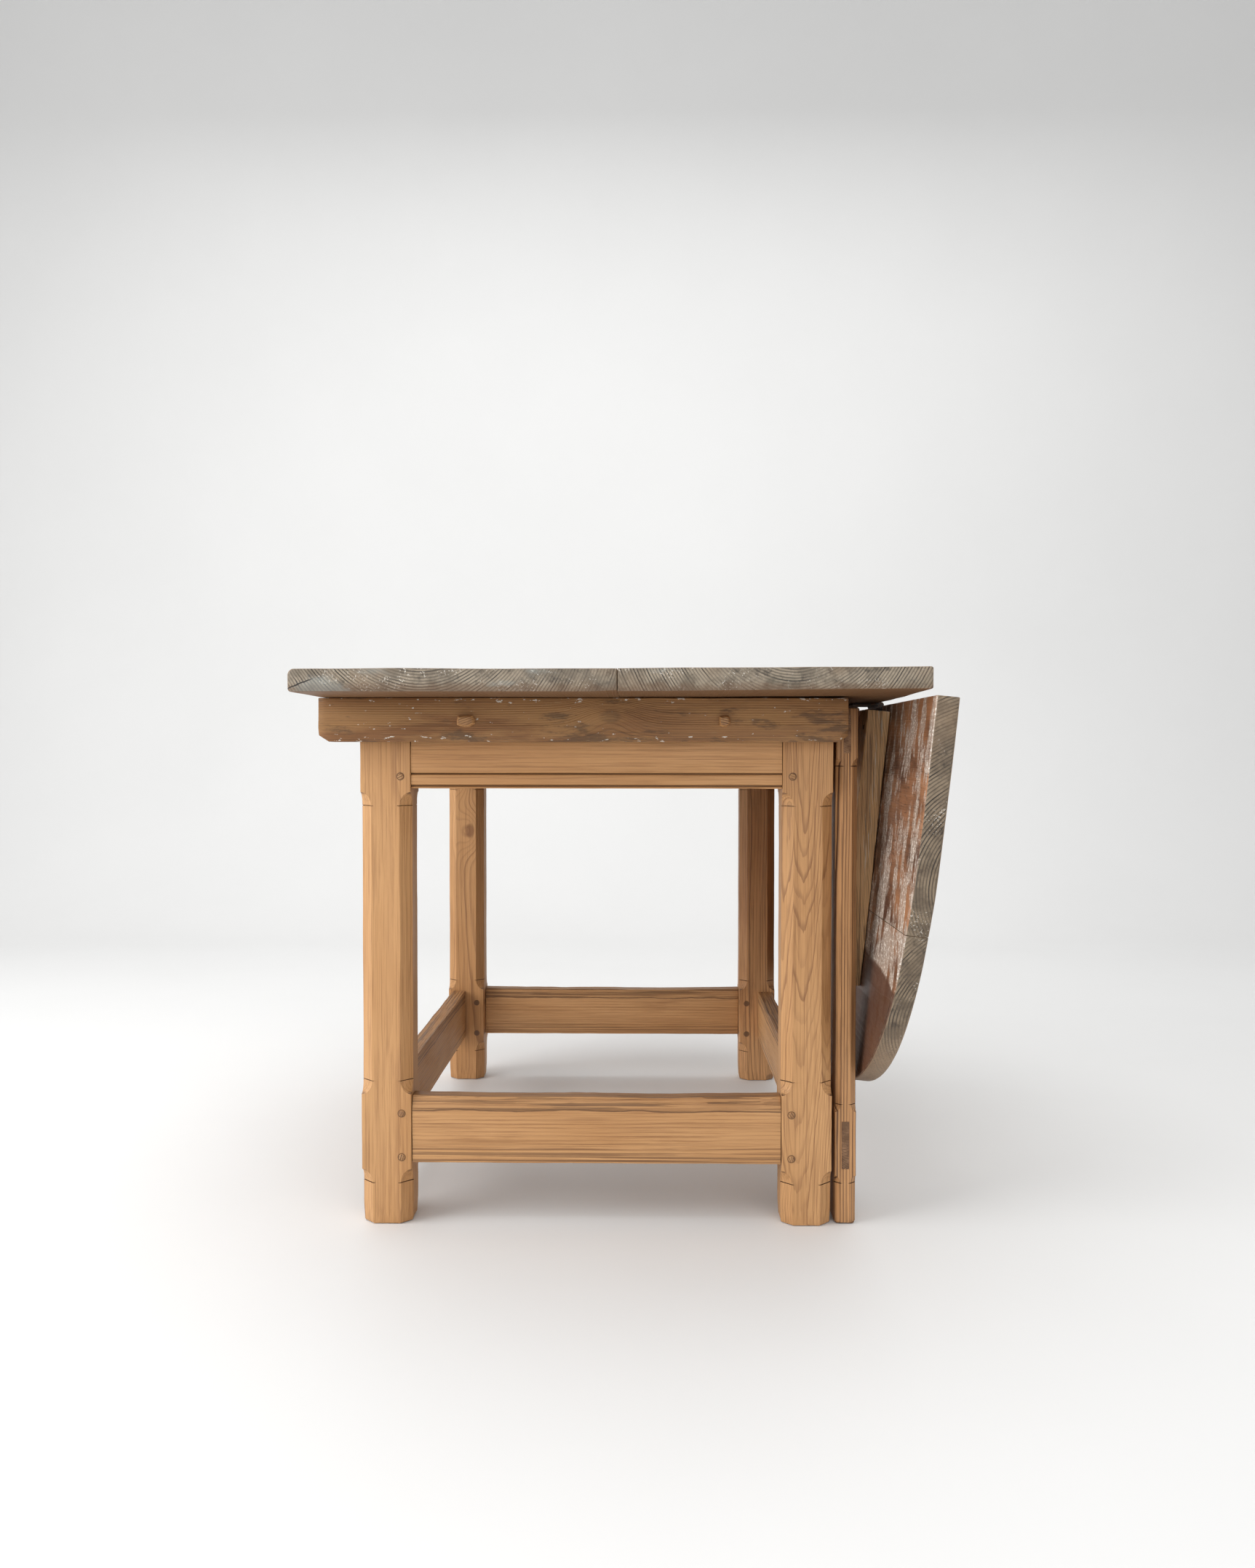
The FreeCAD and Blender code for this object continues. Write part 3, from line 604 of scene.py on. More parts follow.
def tenons(low, high, axis, span, shrink):
    """The two tenons of a rail, from its shoulders to its ends."""
    js = ORDER[axis][2]
    result = []
    for start, end in ((low[js], span[0]), (span[1], high[js])):
        a, b = Vector(low), Vector(high)
        a[js], b[js] = start, end
        for k, (near, far) in shrink.items():
            a[k] += near
            b[k] -= far
        result.append(bar_mesh(a, b, axis, even_cuts(0.0005), 0.02, end_round=0.0003))
    return result


def rail(name, axis, outward, material, seed, profile):
    """An apron or a stretcher between its two legs. outward is the side its face looks to."""
    low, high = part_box(name)
    js = ORDER[axis][2]
    depth_axis = 1 if axis == "x" else 0
    tenon, thin, shoulder = TENON_LENGTH[profile], TENON_THINNER[profile], TENON_SHOULDER[profile]
    span = (low[js] + tenon, high[js] - tenon)
    a, b = Vector(low), Vector(high)
    a[js], b[js] = span[0] + 0.0002, span[1] - 0.0002
    worn = even_cuts(0.0014, seed)
    # the corners in section order are (a0, b0), (a1, b0), (a1, b1), (a0, b1)
    top_outer = {("x", -1): 3, ("x", 1): 2, ("y", -1): 1, ("y", 1): 2}[(axis, outward)]
    extra = [APRON_LOW + d for d in BEAD_MESH] if profile == "apron" else []

    def cuts(s):
        result = worn(s)
        if profile == "stretcher":
            drop = 0.017 + 0.0022 * wobble(s * 9, seed) + 0.0016 * wobble(s * 31, seed)
            back = 0.0062 + 0.0018 * wobble(s * 11, seed + 5) + 0.0012 * wobble(s * 47, seed)
            cut = (back, drop, 0.28) if axis == "x" else (drop, back, 0.28)
            result[top_outer] = cut
        return result

    def shape(p, q, s):
        # section coordinates back to depth and height
        depth, z = (p, q) if axis == "x" else (q, p)
        face = (b if outward > 0 else a)[depth_axis]
        if profile == "apron" and abs(depth - face) < 0.002:
            up = z - APRON_LOW
            groove = sum(0.0034 * math.exp(-((up - line) / 0.0011) ** 2) for line in BEAD_LINES)
            on_bead = BEAD_LINES[0] < up < BEAD_LINES[1]
            round_off = 0.0016 * ((up - BEAD_MIDDLE) / BEAD_HALF) ** 4 if on_bead else 0.0
            lip = 0.0008 if up < BEAD_LINES[0] else 0.0
            depth -= outward * (groove + round_off + lip)
        if profile == "stretcher" and z > STRETCHER[1] - 0.004:
            hollow = math.sin(math.pi * (s - span[0]) / (span[1] - span[0])) ** 0.6
            z -= hollow * (0.0022 + 0.0012 * wobble(s * 8, seed + 3) + 0.0007 * wobble(s * 40, seed))
        return (depth, z, s) if axis == "x" else (z, depth, s)

    extras = {"extra_b": extra} if axis == "x" else {"extra_a": extra}
    body = bar_mesh(a, b, axis, cuts, 0.010, end_round=0.0004, shape=shape, **extras)
    shrink = {2: (shoulder, shoulder), depth_axis: (thin, thin)}
    meshes = [body] + tenons(low, high, axis, span, shrink)
    put(name, meshes, "frame", "rail_pine", material)


def tube_faces(rows, sides, inside_out=False):
    """The faces of a closed tube whose vertices come row by row."""
    faces = []
    for row in range(rows - 1):
        for i in range(sides):
            j = (i + 1) % sides
            base = row * sides
            faces.append((base + i, base + sides + i, base + sides + j, base + j))
    faces.append(tuple(range(sides)))
    faces.append(tuple(reversed(range((rows - 1) * sides, rows * sides))))
    return [(f[0], *reversed(f[1:])) for f in faces] if inside_out else faces


def peg_mesh(start, way, radius, length, seed, sides=14):
    """A whittled peg: not quite round, with a slightly domed end."""
    way = Vector(way)
    u = way.orthogonal().normalized()
    v = way.cross(u)
    rows = [(0.0, 0.80), (0.0003, 0.93), (0.0009, 1.0), (length, 1.0)]
    verts = []
    for far, share in rows:
        for i in range(sides):
            a = 2 * math.pi * i / sides
            r = radius * share * (1 + 0.07 * wobble(math.cos(a) * 1.4 + seed, math.sin(a) * 1.4, seed))
            p = Vector(start) + way * far + u * (r * math.cos(a)) + v * (r * math.sin(a))
            verts.append(tuple(p))
    return verts, tube_faces(len(rows), sides)


def box_of(points):
    """The lowest and highest corner of some points."""
    low = Vector([min(p[k] for p in points) for k in range(3)])
    high = Vector([max(p[k] for p in points) for k in range(3)])
    return low, high


def islands(node):
    """The box of each separate solid in a CAD node, lowest and highest corner."""
    mesh = frame["nodes"][node].data
    parent = list(range(len(mesh.vertices)))

    def root(i):
        while parent[i] != i:
            parent[i] = parent[parent[i]]
            i = parent[i]
        return i

    seen = {}
    for v in mesh.vertices:
        key = tuple(round(c, 6) for c in v.co)
        if key in seen:
            parent[root(v.index)] = root(seen[key])
        seen.setdefault(key, v.index)
    for e in mesh.edges:
        parent[root(e.vertices[0])] = root(e.vertices[1])
    groups = {}
    for v in mesh.vertices:
        groups.setdefault(root(v.index), []).append(v.co)
    boxes = [box_of(points) for points in groups.values()]
    return sorted(boxes, key=lambda b: tuple(round(c, 4) for c in b[0]))


def peg_shadow(*sides):
    """An overlay that darkens the thin gap round the pegs of the joints on these sides."""
    pegs = []
    for side in sides:
        flat = (1.0, 0.0, 1.0) if side in ("front", "rear") else (0.0, 1.0, 1.0)
        pegs += [((low + high) / 2, flat) for low, high in islands("joint_pegs_" + side)]

    def overlay(t, place, colour, height, grain):
        rings = []
        for p, flat in pegs:
            far = t.distance(place, tuple(p), flat)
            rings.append(t.step(far, PEG_RADIUS + 0.0006, PEG_RADIUS + 0.0020, 0.8, 0.0))
        return t.mix(t.highest(rings), colour, (0.07, 0.03, 0.012)), height

    return overlay


def joint_pegs(side, material):
    """The draw pegs of one side of the frame, each a little proud of its leg."""
    node = "joint_pegs_" + side
    k, outward = {"front": (1, -1), "rear": (1, 1), "left": (0, -1), "right": (0, 1)}[side]
    way = [0.0, 0.0, 0.0]
    way[k] = -outward
    meshes = []
    for n, (low, high) in enumerate(islands(node)):
        start = (low + high) / 2
        face = high[k] if outward > 0 else low[k]
        covered = side in ("front", "rear") and start.z > UNDERSIDE - 0.06
        start[k] = face + outward * (0.0 if covered else PEG_PROUD)
        radius = (high.z - low.z) / 2
        meshes.append(peg_mesh(start, way, radius, high[k] - low[k], n * 3.1 + len(side)))
    put(node, meshes, "frame", "peg_wood", material, sway=0.0)


# ---- Top ----


def top_lift(x, y):
    """How far the right end of the top has cupped up, most of all at the free front corner."""
    across = smooth(MIDDLE_X - 0.05, TOP_RIGHT, x)
    end = 0.35 + 0.65 * smooth(0.30, BOARD_END[1], abs(y))
    return BOARD_THINNING * across * end


def top_board(number, material, seed, left_round, right_round):
    node = "top_board_%d" % number
    low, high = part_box(node)
    worn = even_cuts(0.0012, seed)

    def cuts(s):
        near = worn(s)
        # section order for a bar along y is (z, x): corners (low z, low x), (high z, low x), ...
        for k, r in ((0, left_round * 0.6), (1, left_round), (2, right_round), (3, right_round * 0.7)):
            grow = r * (1 + 0.35 * wobble(s * 12, seed + k))
            near[k] = (grow, grow, 1.0)
        return near

    def shape(z, x, s):
        lift = top_lift(x, s)
        share = (z - low.z) / (high.z - low.z)
        wave = 0.0005 * wobble(x * 9, s * 5, seed) - 0.0005
        droop = 0.0012 * smooth(0.45, BOARD_END[1], abs(s)) * smooth(MIDDLE_X, high.x, x)
        z = z + share * (-BOARD_THINNING + lift + wave) + (1 - share) * (lift + droop)
        bow = 0.0014 * wobble(x * 7, seed, 2.0) + 0.0006 * wobble(x * 40, z * 60, seed)
        bow += 0.006 * (1 - smooth(TOP_LEFT, TOP_LEFT + 0.02, x)) ** 2
        return z, x, s - math.copysign(0.0016 + bow, s) * smooth(*BOARD_END, abs(s))

    mesh = bar_mesh(low, high, "y", cuts, 0.012, end_round=0.0020, shape=shape)
    put(node, [mesh], "frame", "top_pine", material, sway=0.0004, rate=14.0)


def top_batten(side, material, seed):
    node = "top_batten_" + side
    low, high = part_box(node)
    outward = -1 if side == "front" else 1
    worn = even_cuts(0.0015, seed)
    clip_left, clip_right = BATTEN_CLIP_LONG, BATTEN_CLIP_LONG * 0.8
    lower_outer = 0 if outward < 0 else 1
    upper_outer = 3 if outward < 0 else 2

    def cuts(s):
        result = worn(s)
        inward = 0.0028 + 0.0006 * wobble(s * 20, seed)
        result[lower_outer] = (inward, 0.0095 + 0.0010 * wobble(s * 13, seed), 0.25)
        result[upper_outer] = (0.0018, 0.0012 + 0.0012 * abs(wobble(s * 22, seed + 4)), 0.8)
        return result

    def limits(s):
        near = min(s - low.x, high.x - s)
        rise = BATTEN_CLIP_HIGH * max(0.0, 1 - near / (clip_left if s < MIDDLE_X else clip_right))
        return (low.y, high.y, low.z + rise, high.z)

    left, right = low.x + clip_left, high.x - clip_right
    stations = [left, right, left - 0.001, right + 0.001]
    mesh = bar_mesh(low, high, "x", cuts, 0.010, stations, end_round=0.0012, limits=limits)
    put(node, [mesh], "frame", "batten_pine", material, sway=0.0005, rate=16.0)


def treenail(name, material, seed):
    """A knife-cut pin whose head stands proud of the batten."""
    low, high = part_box(name)
    front = (low.y + high.y) < 0
    out = -1 if front else 1
    face = low.y if front else high.y
    centre = (low + high) / 2
    half = Vector(((high.x - low.x) / 2, 0, (high.z - low.z) / 2))
    sides = 9
    rows = [(0.0, 0.50), (0.0012, 0.74), (0.0040, 0.90), (0.0080, 1.0), (0.0112, 0.99)]
    verts = []
    for far, share in rows:
        for i in range(sides):
            a = 2 * math.pi * (i + 0.4) / sides + 0.25 * wobble(i * 1.7, seed)
            square = 1 / max(abs(math.cos(a)), abs(math.sin(a)))
            r = share * min(square, 1.22) * (0.90 + 0.10 * wobble(i * 2.3, seed, far * 90))
            x = max(-1.0, min(1.0, r * math.cos(a)))
            z = max(-1.0, min(1.0, r * math.sin(a)))
            tip = 0.0022 * (1 - share) * (1 + x) * (0.5 if half.x > 0.010 else 0.0)
            verts.append((centre.x + half.x * x, face - out * (far + tip), centre.z + half.z * z))
    for far in (0.0113, high.y - low.y - 0.0005):
        for i in range(sides):
            a = 2 * math.pi * (i + 0.4) / sides
            x, z = TREENAIL_SHANK * math.cos(a), TREENAIL_SHANK * math.sin(a)
            verts.append((centre.x + x, face - out * far, centre.z + z))
    faces = tube_faces(len(rows) + 2, sides, front)
    put(name, [(verts, faces)], "frame", "peg_wood", material, sway=0.0, sharp=22)


def nails(node, body, way, sink, material, matrix=None, boxes=None):
    """Hand-made nails: a flat faceted head and a shank."""
    meshes = []
    for n, (low, high) in enumerate(boxes or islands(node)):
        centre = (low + high) / 2
        k = [abs(c) > 0.5 for c in way].index(True)
        start = centre.copy()
        start[k] = (high[k] if way[k] < 0 else low[k]) + way[k] * sink
        if way[2] < 0 and sink:
            start.z += top_lift(start.x, start.y)
        head = peg_mesh(start, way, *NAIL_HEAD, n * 1.9, 9)
        below = Vector(start) + Vector(way) * 0.0011
        shank = peg_mesh(below, way, NAIL_SHANK, (high - low)[k] - 0.004, n, 8)
        meshes += [head, shank]
    put(node, meshes, body, "old_iron", material, sway=0.0, matrix=matrix)


# ---- Leaf, built raised and turned down to hang ----

TO_HANG = Matrix.Translation(HINGE) @ Matrix.Rotation(HANG, 4, "Y") @ Matrix.Translation(-HINGE)


def raised_box(node):
    """A leaf node's box with the leaf raised level."""
    back = TO_HANG.inverted()
    return box_of([back @ v.co for v in frame["nodes"][node].data.vertices])


LEAF_REACH = raised_box("leaf_board_2")[1].x - HINGE.x
LEAF_HALF = raised_box("leaf_board_1")[1].y
LEAF_POWER = 3.2


def leaf_end(x):
    """Half the leaf's length at a distance from the hinge line."""
    share = min(1.0, max(0.0, (x - HINGE.x) / LEAF_REACH))
    return LEAF_HALF * (1 - share ** LEAF_POWER) ** (1 / LEAF_POWER)


def leaf_board(number, material, seed, last):
    node = "leaf_board_%d" % number
    low, high = raised_box(node)
    low.z, high.z = low.z + 0.0002, high.z - 0.0002
    worn = even_cuts(0.0040, seed, rate=9.0)
    stations = []
    if last:
        shares = [math.sin(math.pi / 2 * i / 40) ** (2 / LEAF_POWER) for i in range(20, 41)]
        stations = [min(HINGE.x + LEAF_REACH * share, high.x - 0.0009) for share in shares]
        stations += [high.x - LEAF_RIM * (1 - math.sin(math.pi / 2 * i / 6)) for i in range(6)]

    def limits(s):
        half = max(0.03, leaf_end(min(s, high.x - 0.0006)))
        half -= 0.0012 + 0.0009 * wobble(s * 12, seed)
        inset = 0.0
        if last and high.x - s < LEAF_RIM:
            inset = LEAF_RIM - math.sqrt(max(0.0, LEAF_RIM ** 2 - (LEAF_RIM - (high.x - s)) ** 2))
        return (-half, half, low.z + inset, high.z - inset)

    # a bar along x has its section in (y, z)
    def shape(y, z, s):
        wave = 0.0003 * wobble(s * 8, y * 4, seed)
        share = (z - low.z) / (high.z - low.z)
        return y, z + wave * (1 - 2 * share) * 0.5, s

    mesh = bar_mesh(low, high, "x", worn, 0.012, stations, end_round=0.0010, limits=limits, shape=shape)
    put(node, [mesh], "leaf", "leaf_pine", material, sway=0.0003, rate=14.0,
               matrix=TO_HANG)


def leaf_batten(side, material, seed):
    node = "leaf_batten_" + side
    low, high = raised_box(node)
    taper_start = high.x - LEAF_BATTEN_TAPER
    cut = (high.z - low.z) * LEAF_BATTEN_CUT
    worn = even_cuts(0.0022, seed, rate=14.0)

    def limits(s):
        slope = max(0.0, (s - taper_start) / LEAF_BATTEN_TAPER)
        bow = 0.0008 * wobble(s * 7, seed)
        return (low.y + 0.0005 + abs(bow), high.y - 0.0005, low.z + cut * slope + 0.0004, high.z - 0.0003)

    mesh = bar_mesh(low, high, "x", worn, 0.010, [taper_start], end_round=0.0015, limits=limits)
    put(node, [mesh], "leaf", "leaf_batten_pine", material, sway=0.0005,
               matrix=TO_HANG)


def leaf_nails(material):
    back = TO_HANG.inverted()
    lift = raised_box("leaf_batten_front")[0].z
    boxes = []
    for low, high in islands("leaf_batten_nails"):
        centre = back @ ((low + high) / 2)
        foot = Vector((centre.x, centre.y, lift + 0.0003))
        boxes.append((foot, Vector((centre.x, centre.y, lift + LEAF_NAIL_LENGTH))))
    nails("leaf_batten_nails", "leaf", (0, 0, 1), -0.0005, material, TO_HANG, boxes)


# ---- Gate ----


def gate_post(name, material, seed, chamfered):
    low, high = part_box(name)
    rail_low, rail_high = (corner.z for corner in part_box("gate_low_rail"))
    if chamfered:
        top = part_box("gate_top_rail")[0].z - GATE_BLOCK_BELOW_TOP_RAIL
        runs = ((rail_high + GATE_BLOCK_AT_LOW_RAIL, top, True),
                (low.z, rail_low - GATE_BLOCK_AT_LOW_RAIL, False))
        cuts, stations = chamfer_profile(GATE_CHAMFER, GATE_COVE, runs, seed)
    else:
        cuts, stations = even_cuts(0.0018, seed), ()
    low.y += 0.0004
    mesh = bar_mesh(low, high, "z", cuts, 0.010, stations, end_round=0.0025)
    put(name, [mesh], "gate", "gate_pine", material, sway=0.0003)


def gate_rail(name, material, seed):
    """A gate rail with tenons that show at the face of the gate leg and the back of the stile."""
    low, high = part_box(name)
    leg_back, stile_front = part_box("gate_leg")[1].y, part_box("gate_stile")[0].y
    side = (high.x - low.x - GATE_TENON_WIDTH) / 2
    a, b = Vector((low.x, leg_back, low.z)), Vector((high.x, stile_front, high.z))
    meshes = [bar_mesh(a, b, "y", even_cuts(0.0016, seed), 0.010, end_round=0.0004)]
    for start, end in ((low.y, leg_back), (stile_front, high.y)):
        a = Vector((low.x + side, start, low.z))
        b = Vector((high.x - side, end, high.z - GATE_TENON_DROP))
        meshes.append(bar_mesh(a, b, "y", even_cuts(0.0006, seed), 0.012, end_round=0.0006))
    put(name, meshes, "gate", "gate_pine", material, sway=0.0003)


def gate_pegs(material):
    meshes = []
    for n, (low, high) in enumerate(islands("gate_pegs")):
        start = (low + high) / 2
        start.x = high.x + 0.0004
        meshes.append(peg_mesh(start, (-1, 0, 0), (high.z - low.z) / 2, high.x - low.x + 0.0004, n * 2.7))
    put("gate_pegs", meshes, "gate", "peg_wood", material, sway=0.0)


# ---- Everything in place ----


def middle(node):
    low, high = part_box(node)
    return (low + high) / 2


def build_frame():
    # how far the pith is from a leg's middle, then its colours and grain
    legs = {
        "front_left": ((-0.02, 0.16), HONEY, dict(ring_size=0.0030, lines=0.30, seed=1.0, soil=0.16,
                       ripples=0.003)),
        "front_right": ((-0.012, 0.020), HONEY, dict(slope=(0.012, -0.045), ring_size=0.0021, lines=0.62,
                        wander=0.020, seed=7.0, soil=0.2, ripples=0.0042)),
        "rear_left": ((0.03, 0.06), HONEY, dict(slope=(0.0, -0.02), wander=0.018, seed=12.0, soil=0.3)),
        "rear_right": ((-0.05, 0.05), RED, dict(wander=0.014, seed=17.0, soil=0.4)),
    }
    # a knot's place from its leg's middle, its height and its size
    knots = {"rear_left": ((-0.01, -0.034, 0.60, 0.009), (0.008, -0.034, 0.50, 0.011))}
    for n, (corner, (pith, colours, grain)) in enumerate(legs.items(), 1):
        m = middle("leg_" + corner)
        at = [(m.x + x, m.y + y, z, size) for x, y, z, size in knots.get(corner, ())]
        material = wood("pine_leg_%d" % n, "z", (m.x + pith[0], m.y + pith[1]), colours, knots=at,
                        overlay=peg_shadow(*corner.split("_")), **grain)
        leg("leg_" + corner, material, float(n))
    sides = {"front": ("x", -1), "rear": ("x", 1), "left": ("y", -1), "right": ("y", 1)}
    for n, (side, (axis, outward)) in enumerate(sides.items()):
        a, s = middle("apron_" + side), middle("stretcher_" + side)
        if axis == "x":
            pa, ps = (a.y + 0.09 * outward, a.z + 0.13), (s.y + 0.05, s.z - 0.085)
        else:
            pa, ps = (a.z + 0.13, a.x - 0.09), (s.z - 0.08, s.x + 0.05)
        material = wood("pine_apron_" + side, axis, pa, HONEY, ring_size=0.0042, lines=0.16, wander=0.010,
                        seed=20.0 + n * 3, soil=0.10, overlay=quirk_shade)
        rail("apron_" + side, axis, outward, material, 5.0 + n, "apron")
        material = wood("pine_stretcher_" + side, axis, ps, HONEY, ring_size=0.0044, lines=0.42,
                        seed=31.0 + n * 3, soil=0.22, raised=0.8, overlay=worn_band)
        rail("stretcher_" + side, axis, outward, material, 9.0 + n, "stretcher")
    peg = wood("peg_wood", "y", (0.0, 0.0), HONEY, PEG_END, ring_size=0.003, lines=0.3, seed=44.0)
    for side in sides:
        joint_pegs(side, peg)


def build_top():
    left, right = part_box("top_board_1"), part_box("top_board_2")
    top = {"end": GREY_END, "flecks": 0.85, "lines": 0.5, "wander": 0.014, "soil": 0.35}
    material = wood("pine_top_1", "y", (UNDERSIDE + 0.115, left[0].x + 0.165), SCRUBBED, seed=50.0,
                    overlay=end_wear(left[0], True), **top)
    top_board(1, material, 11.0, 0.0075, 0.0008)
    material = wood("pine_top_2", "y", (UNDERSIDE + 0.105, right[0].x + 0.215), SCRUBBED, seed=57.0,
                    overlay=end_wear(right[0], False), **top)
    top_board(2, material, 12.0, 0.0008, 0.0038)
    for n, side in enumerate(("front", "rear")):
        b = middle("top_batten_" + side)
        out = -1 if side == "front" else 1
        knots = ((MIDDLE_X + 0.02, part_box("top_batten_" + side)[n].y, b.z + 0.004, 0.011),)
        material = wood("pine_batten_" + side, "x", (b.y + 0.05 * out, b.z + 0.10), TAN,
                        ring_size=0.0030, lines=0.45, seed=61.0 + n * 4, soil=0.5,
                        overlay=batten_wear_and_highlights, knots=knots, raised=0.8)
        top_batten(side, material, 13.0 + n)
    cut = wood("treenail_wood", "y", (0.0, 0.0), HONEY, PEG_END, ring_size=0.003, lines=0.4, seed=66.0)
    for n, name in enumerate(("front_left", "front_right", "rear_left", "rear_right")):
        treenail("treenail_" + name, cut, 3.0 + n * 1.7)


def end_wear(corner, split_rises):
    """The weather on a top board's ends: brown along the lower edge, dark and blue-grey stains, and a
    split that rises from the lower corner."""

    def overlay(t, place, colour, height, grain):
        x, _, z = t.parts(place)
        on_end = t.step(t.math("ABSOLUTE", t.facing(1)), 0.3, 0.6)
        colour = t.mix(t.step(t.facing(2), -0.8, -0.4, 0.85, 0.0), colour, (0.155, 0.068, 0.020))
        ragged = t.noise(place, scale=60.0, detail=4.0)
        up = t.madd(ragged, 0.016, t.minus(z, UNDERSIDE))
        brown = t.times(t.step(up, 0.012, 0.022, 1.0, 0.0), on_end)
        colour = t.mix(t.times(brown, 0.55), colour, (0.13, 0.065, 0.028))
        stain = t.noise(t.scaled(place, (8.0, 8.0, 14.0), (3.1, 0.0, 0.0)), detail=5.0)
        stain = t.times(t.step(stain, 0.56, 0.68, 0.0, 0.5), on_end)
        colour = t.mix(stain, colour, (0.055, 0.052, 0.036))
        blue = t.noise(t.scaled(place, (9.0, 9.0, 24.0), (9.4, 0.0, 2.0)), detail=5.0)
        blue = t.times(t.step(blue, 0.58, 0.68, 0.0, 0.45), on_end)
        colour = t.mix(blue, colour, (0.27, 0.29, 0.27))
        if split_rises:
            along = t.minus(x, corner.x)
            line = t.madd(along, 0.42, t.times(t.noise(place, scale=90.0, detail=4.0), 0.004))
            off = t.apart(t.minus(z, corner.z + 0.0015), line)
            mask = t.times(t.step(off, 0.0004, 0.0011, 1.0, 0.0), on_end)
            mask = t.times(mask, t.step(along, 0.026, 0.036, 1.0, 0.0))
            colour = t.mix(mask, colour, (0.012, 0.008, 0.005))
            height = t.madd(mask, -2.5, height)
        return colour, height

    return overlay


def build_leaf():
    paint = {"end": LEAF_END, "ring_size": 0.0040, "lines": 0.4, "wander": 0.016, "soil": 0.35,
             "flecks": 0.6, "overlay": worn_paint_and_shade}
    material = wood("pine_leaf_1", "y", (HINGE.z - 0.24, HINGE.x + 0.10), SCRUBBED, seed=70.0, **paint)
    leaf_board(1, material, 21.0, False)
    material = wood("pine_leaf_2", "y", (HINGE.z - 0.42, HINGE.x + 0.09), SCRUBBED, seed=77.0, **paint)
    leaf_board(2, material, 22.0, True)
    for n, side in enumerate(("front", "rear")):
        b = middle("leaf_batten_" + side)
        # these batten colours are painted light, paler than the wood to make up for the shade
        material = wood("pine_leaf_batten_" + side, "z", (b.x - 0.09, b.y - 0.07), DRY_PAINTED_LIGHT, slope=(-0.10, 0.02),
                        ring_size=0.0034, lines=0.35, seed=81.0 + n * 4, soil=0.3, overlay=pale_cracks,
                        raised=0.7)
        leaf_batten(side, material, 24.0 + n)


def build_gate():
    g, s = middle("gate_leg"), middle("gate_stile")
    material = wood("pine_gate_leg", "z", (g.x + 0.11, g.y + 0.03), RED, lines=1.0,
                    wander=0.008, seed=90.0, soil=0.3, raised=1.0)
    gate_post("gate_leg", material, 31.0, True)
    material = wood("pine_gate_stile", "z", (s.x + 0.08, s.y + 0.02), RED, lines=0.4, seed=94.0)
    gate_post("gate_stile", material, 32.0, False)
    for n, name in enumerate(("gate_top_rail", "gate_low_rail")):
        r = middle(name)
        material = wood("pine_" + name, "y", (r.z - 0.05, r.x + 0.01), RED, ring_size=0.0022, lines=0.4,
                        seed=97.0 + n * 3, soil=0.5)
        gate_rail(name, material, 33.0 + n)
    gate_pegs(wood("gate_peg_wood", "x", (0.0, 0.0), RED, ring_size=0.003, lines=0.3, seed=103.0))


def build_iron():
    metal = iron()
    nails("top_batten_nails", "frame", (0, 0, -1), BOARD_THINNING + 0.0006, metal)
    leaf_nails(metal)
    for obj in frame["nodes"].values():
        if not obj.hide_render:
            for slot in obj.material_slots:
                slot.material = metal


# ---- Room, light and camera ----


def floor_material():
    t = Tree("pale_floor")
    place = t.place()
    tone = t.noise(place, scale=1.3, detail=4.0)
    colour = t.mix(tone, (0.74, 0.74, 0.735), (0.79, 0.79, 0.785))
    return t.finish(colour, 0.65, t.noise(place, scale=60.0, detail=4.0), 0.0003, 0.2)


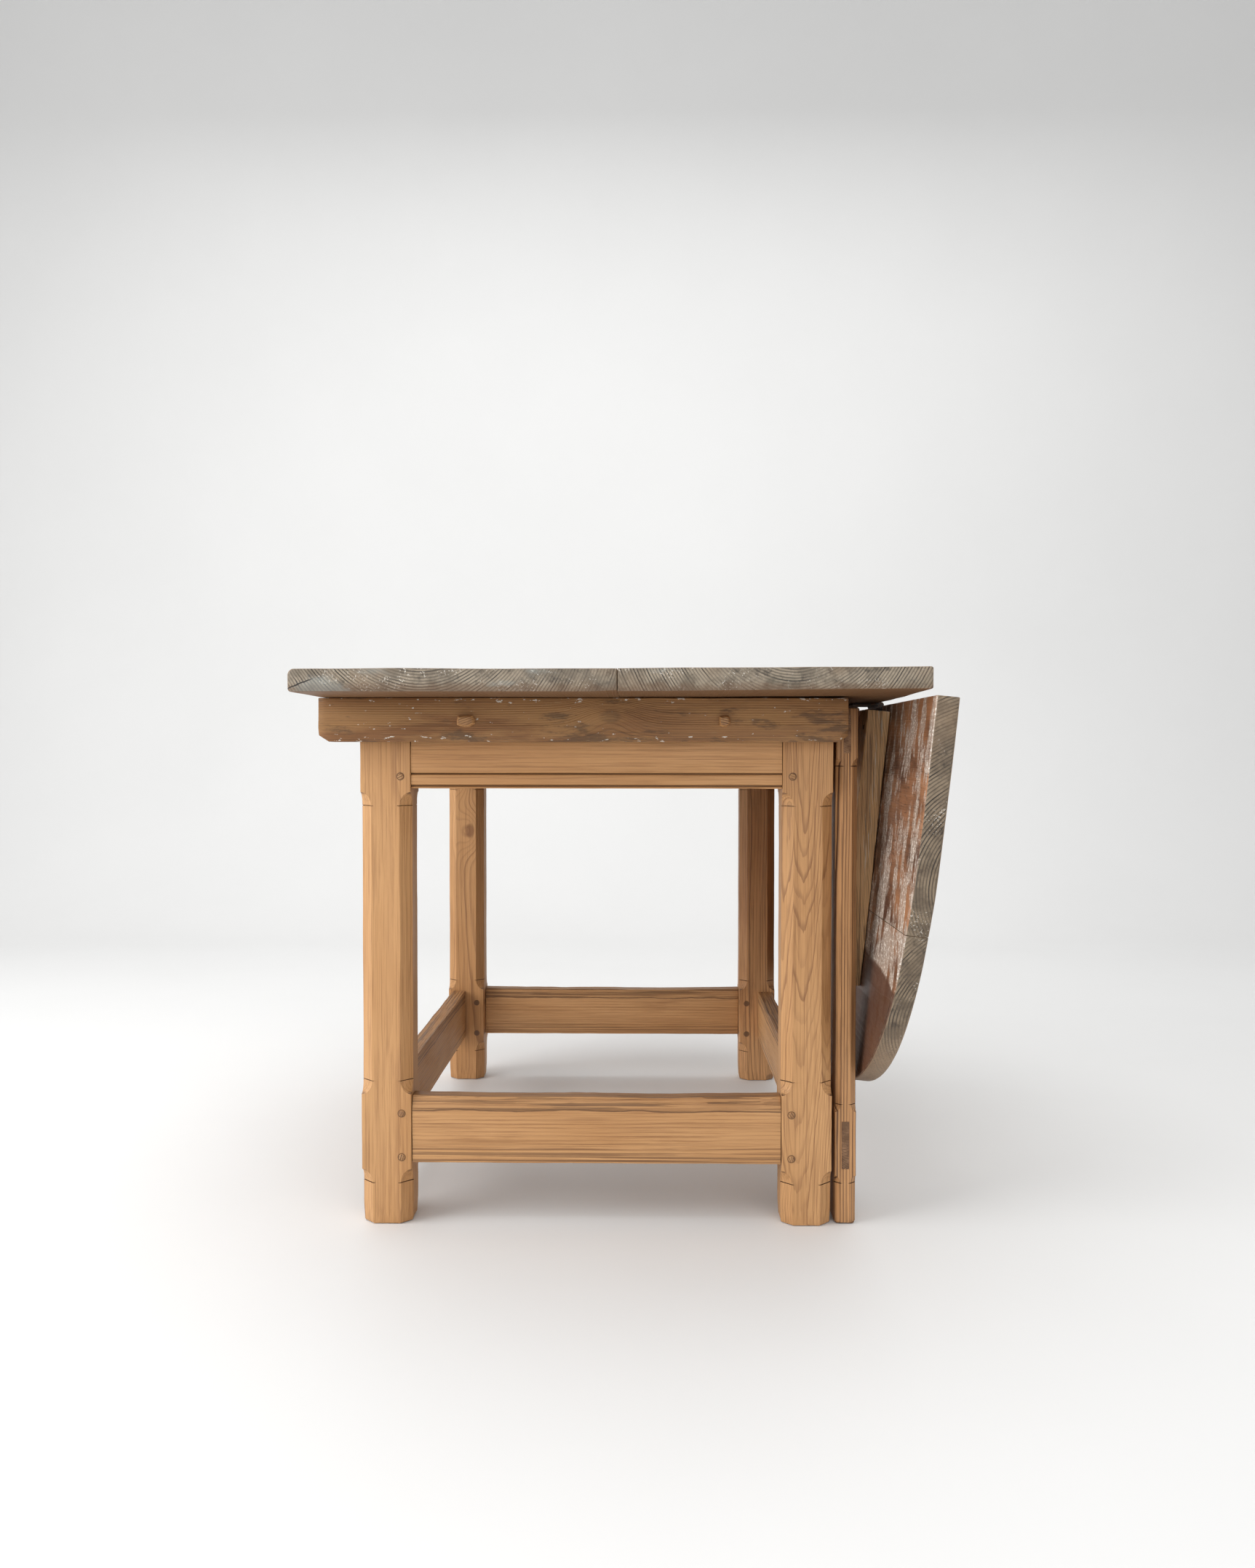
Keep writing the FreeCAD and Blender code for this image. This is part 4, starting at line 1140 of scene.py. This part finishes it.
def build_room():
    """A pale floor that curves up into a pale backdrop."""
    front, back, side, rise, bend = -4.5, 3.4, 6.0, 4.2, 1.2
    steps = 16
    profile = [(front, 0.0), (back - bend, 0.0)]
    for i in range(1, steps + 1):
        a = math.pi / 2 * i / steps
        profile.append((back - bend + bend * math.sin(a), bend * (1 - math.cos(a))))
    profile.append((back, rise))
    verts = [(x, y, z) for y, z in profile for x in (-side, side)]
    faces = [(2 * i, 2 * i + 1, 2 * i + 3, 2 * i + 2) for i in range(len(profile) - 1)]
    mesh = bpy.data.meshes.new("floor")
    mesh.from_pydata(verts, [], faces)
    mesh.polygons.foreach_set("use_smooth", [True] * len(faces))
    mesh.materials.append(floor_material())
    add("floor", mesh)


def area_light(name, place, target, size, power):
    light = bpy.data.lights.new(name, "AREA")
    light.shape = "RECTANGLE"
    light.size, light.size_y = size
    light.energy = power
    obj = add(name, light)
    obj.location = place
    obj.rotation_euler = (Vector(target) - Vector(place)).to_track_quat("-Z", "Y").to_euler()


def build_light():
    world = bpy.data.worlds.new("studio")
    world.use_nodes = True
    background = world.node_tree.nodes["Background"].inputs
    background["Color"].default_value = (1.0, 1.0, 1.0, 1.0)
    background["Strength"].default_value = 0.55
    bpy.context.scene.world = world
    area_light("overhead", (0.0, 0.2, 3.6), (0, 0, 0), (4.5, 4.5), 92)
    area_light("window_left", (-3.2, -1.6, 1.7), (0, 0, 0.4), (2.4, 2.2), 92)
    area_light("room_front", (0.5, -3.8, 1.8), (0, 0, 0.4), (4.0, 2.6), 42)
    bpy.context.scene.view_settings.view_transform = "Standard"


def build_camera():
    """The eye stands just in front of the table's end, a little below the top."""
    frame_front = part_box("leg_front_left")[0].y
    camera = bpy.data.cameras.new("camera")
    camera.sensor_width = 36.0
    camera.lens = 29.47
    obj = add("camera", camera)
    right, away, height = 0.0682, 1.7645, 0.6549
    obj.location = (MIDDLE_X + right, frame_front - away, height)
    pitch, turn, roll = -0.0239, 0.0142, 0.0007
    look = Matrix.Rotation(turn, 3, "Z") @ Matrix.Rotation(math.pi / 2 + pitch, 3, "X")
    obj.rotation_euler = (look @ Matrix.Rotation(roll, 3, "Z")).to_euler()
    bpy.context.scene.camera = obj


build_frame()
build_top()
build_leaf()
build_gate()
build_iron()
build_room()
build_light()
build_camera()

bpy.context.view_layer.update()
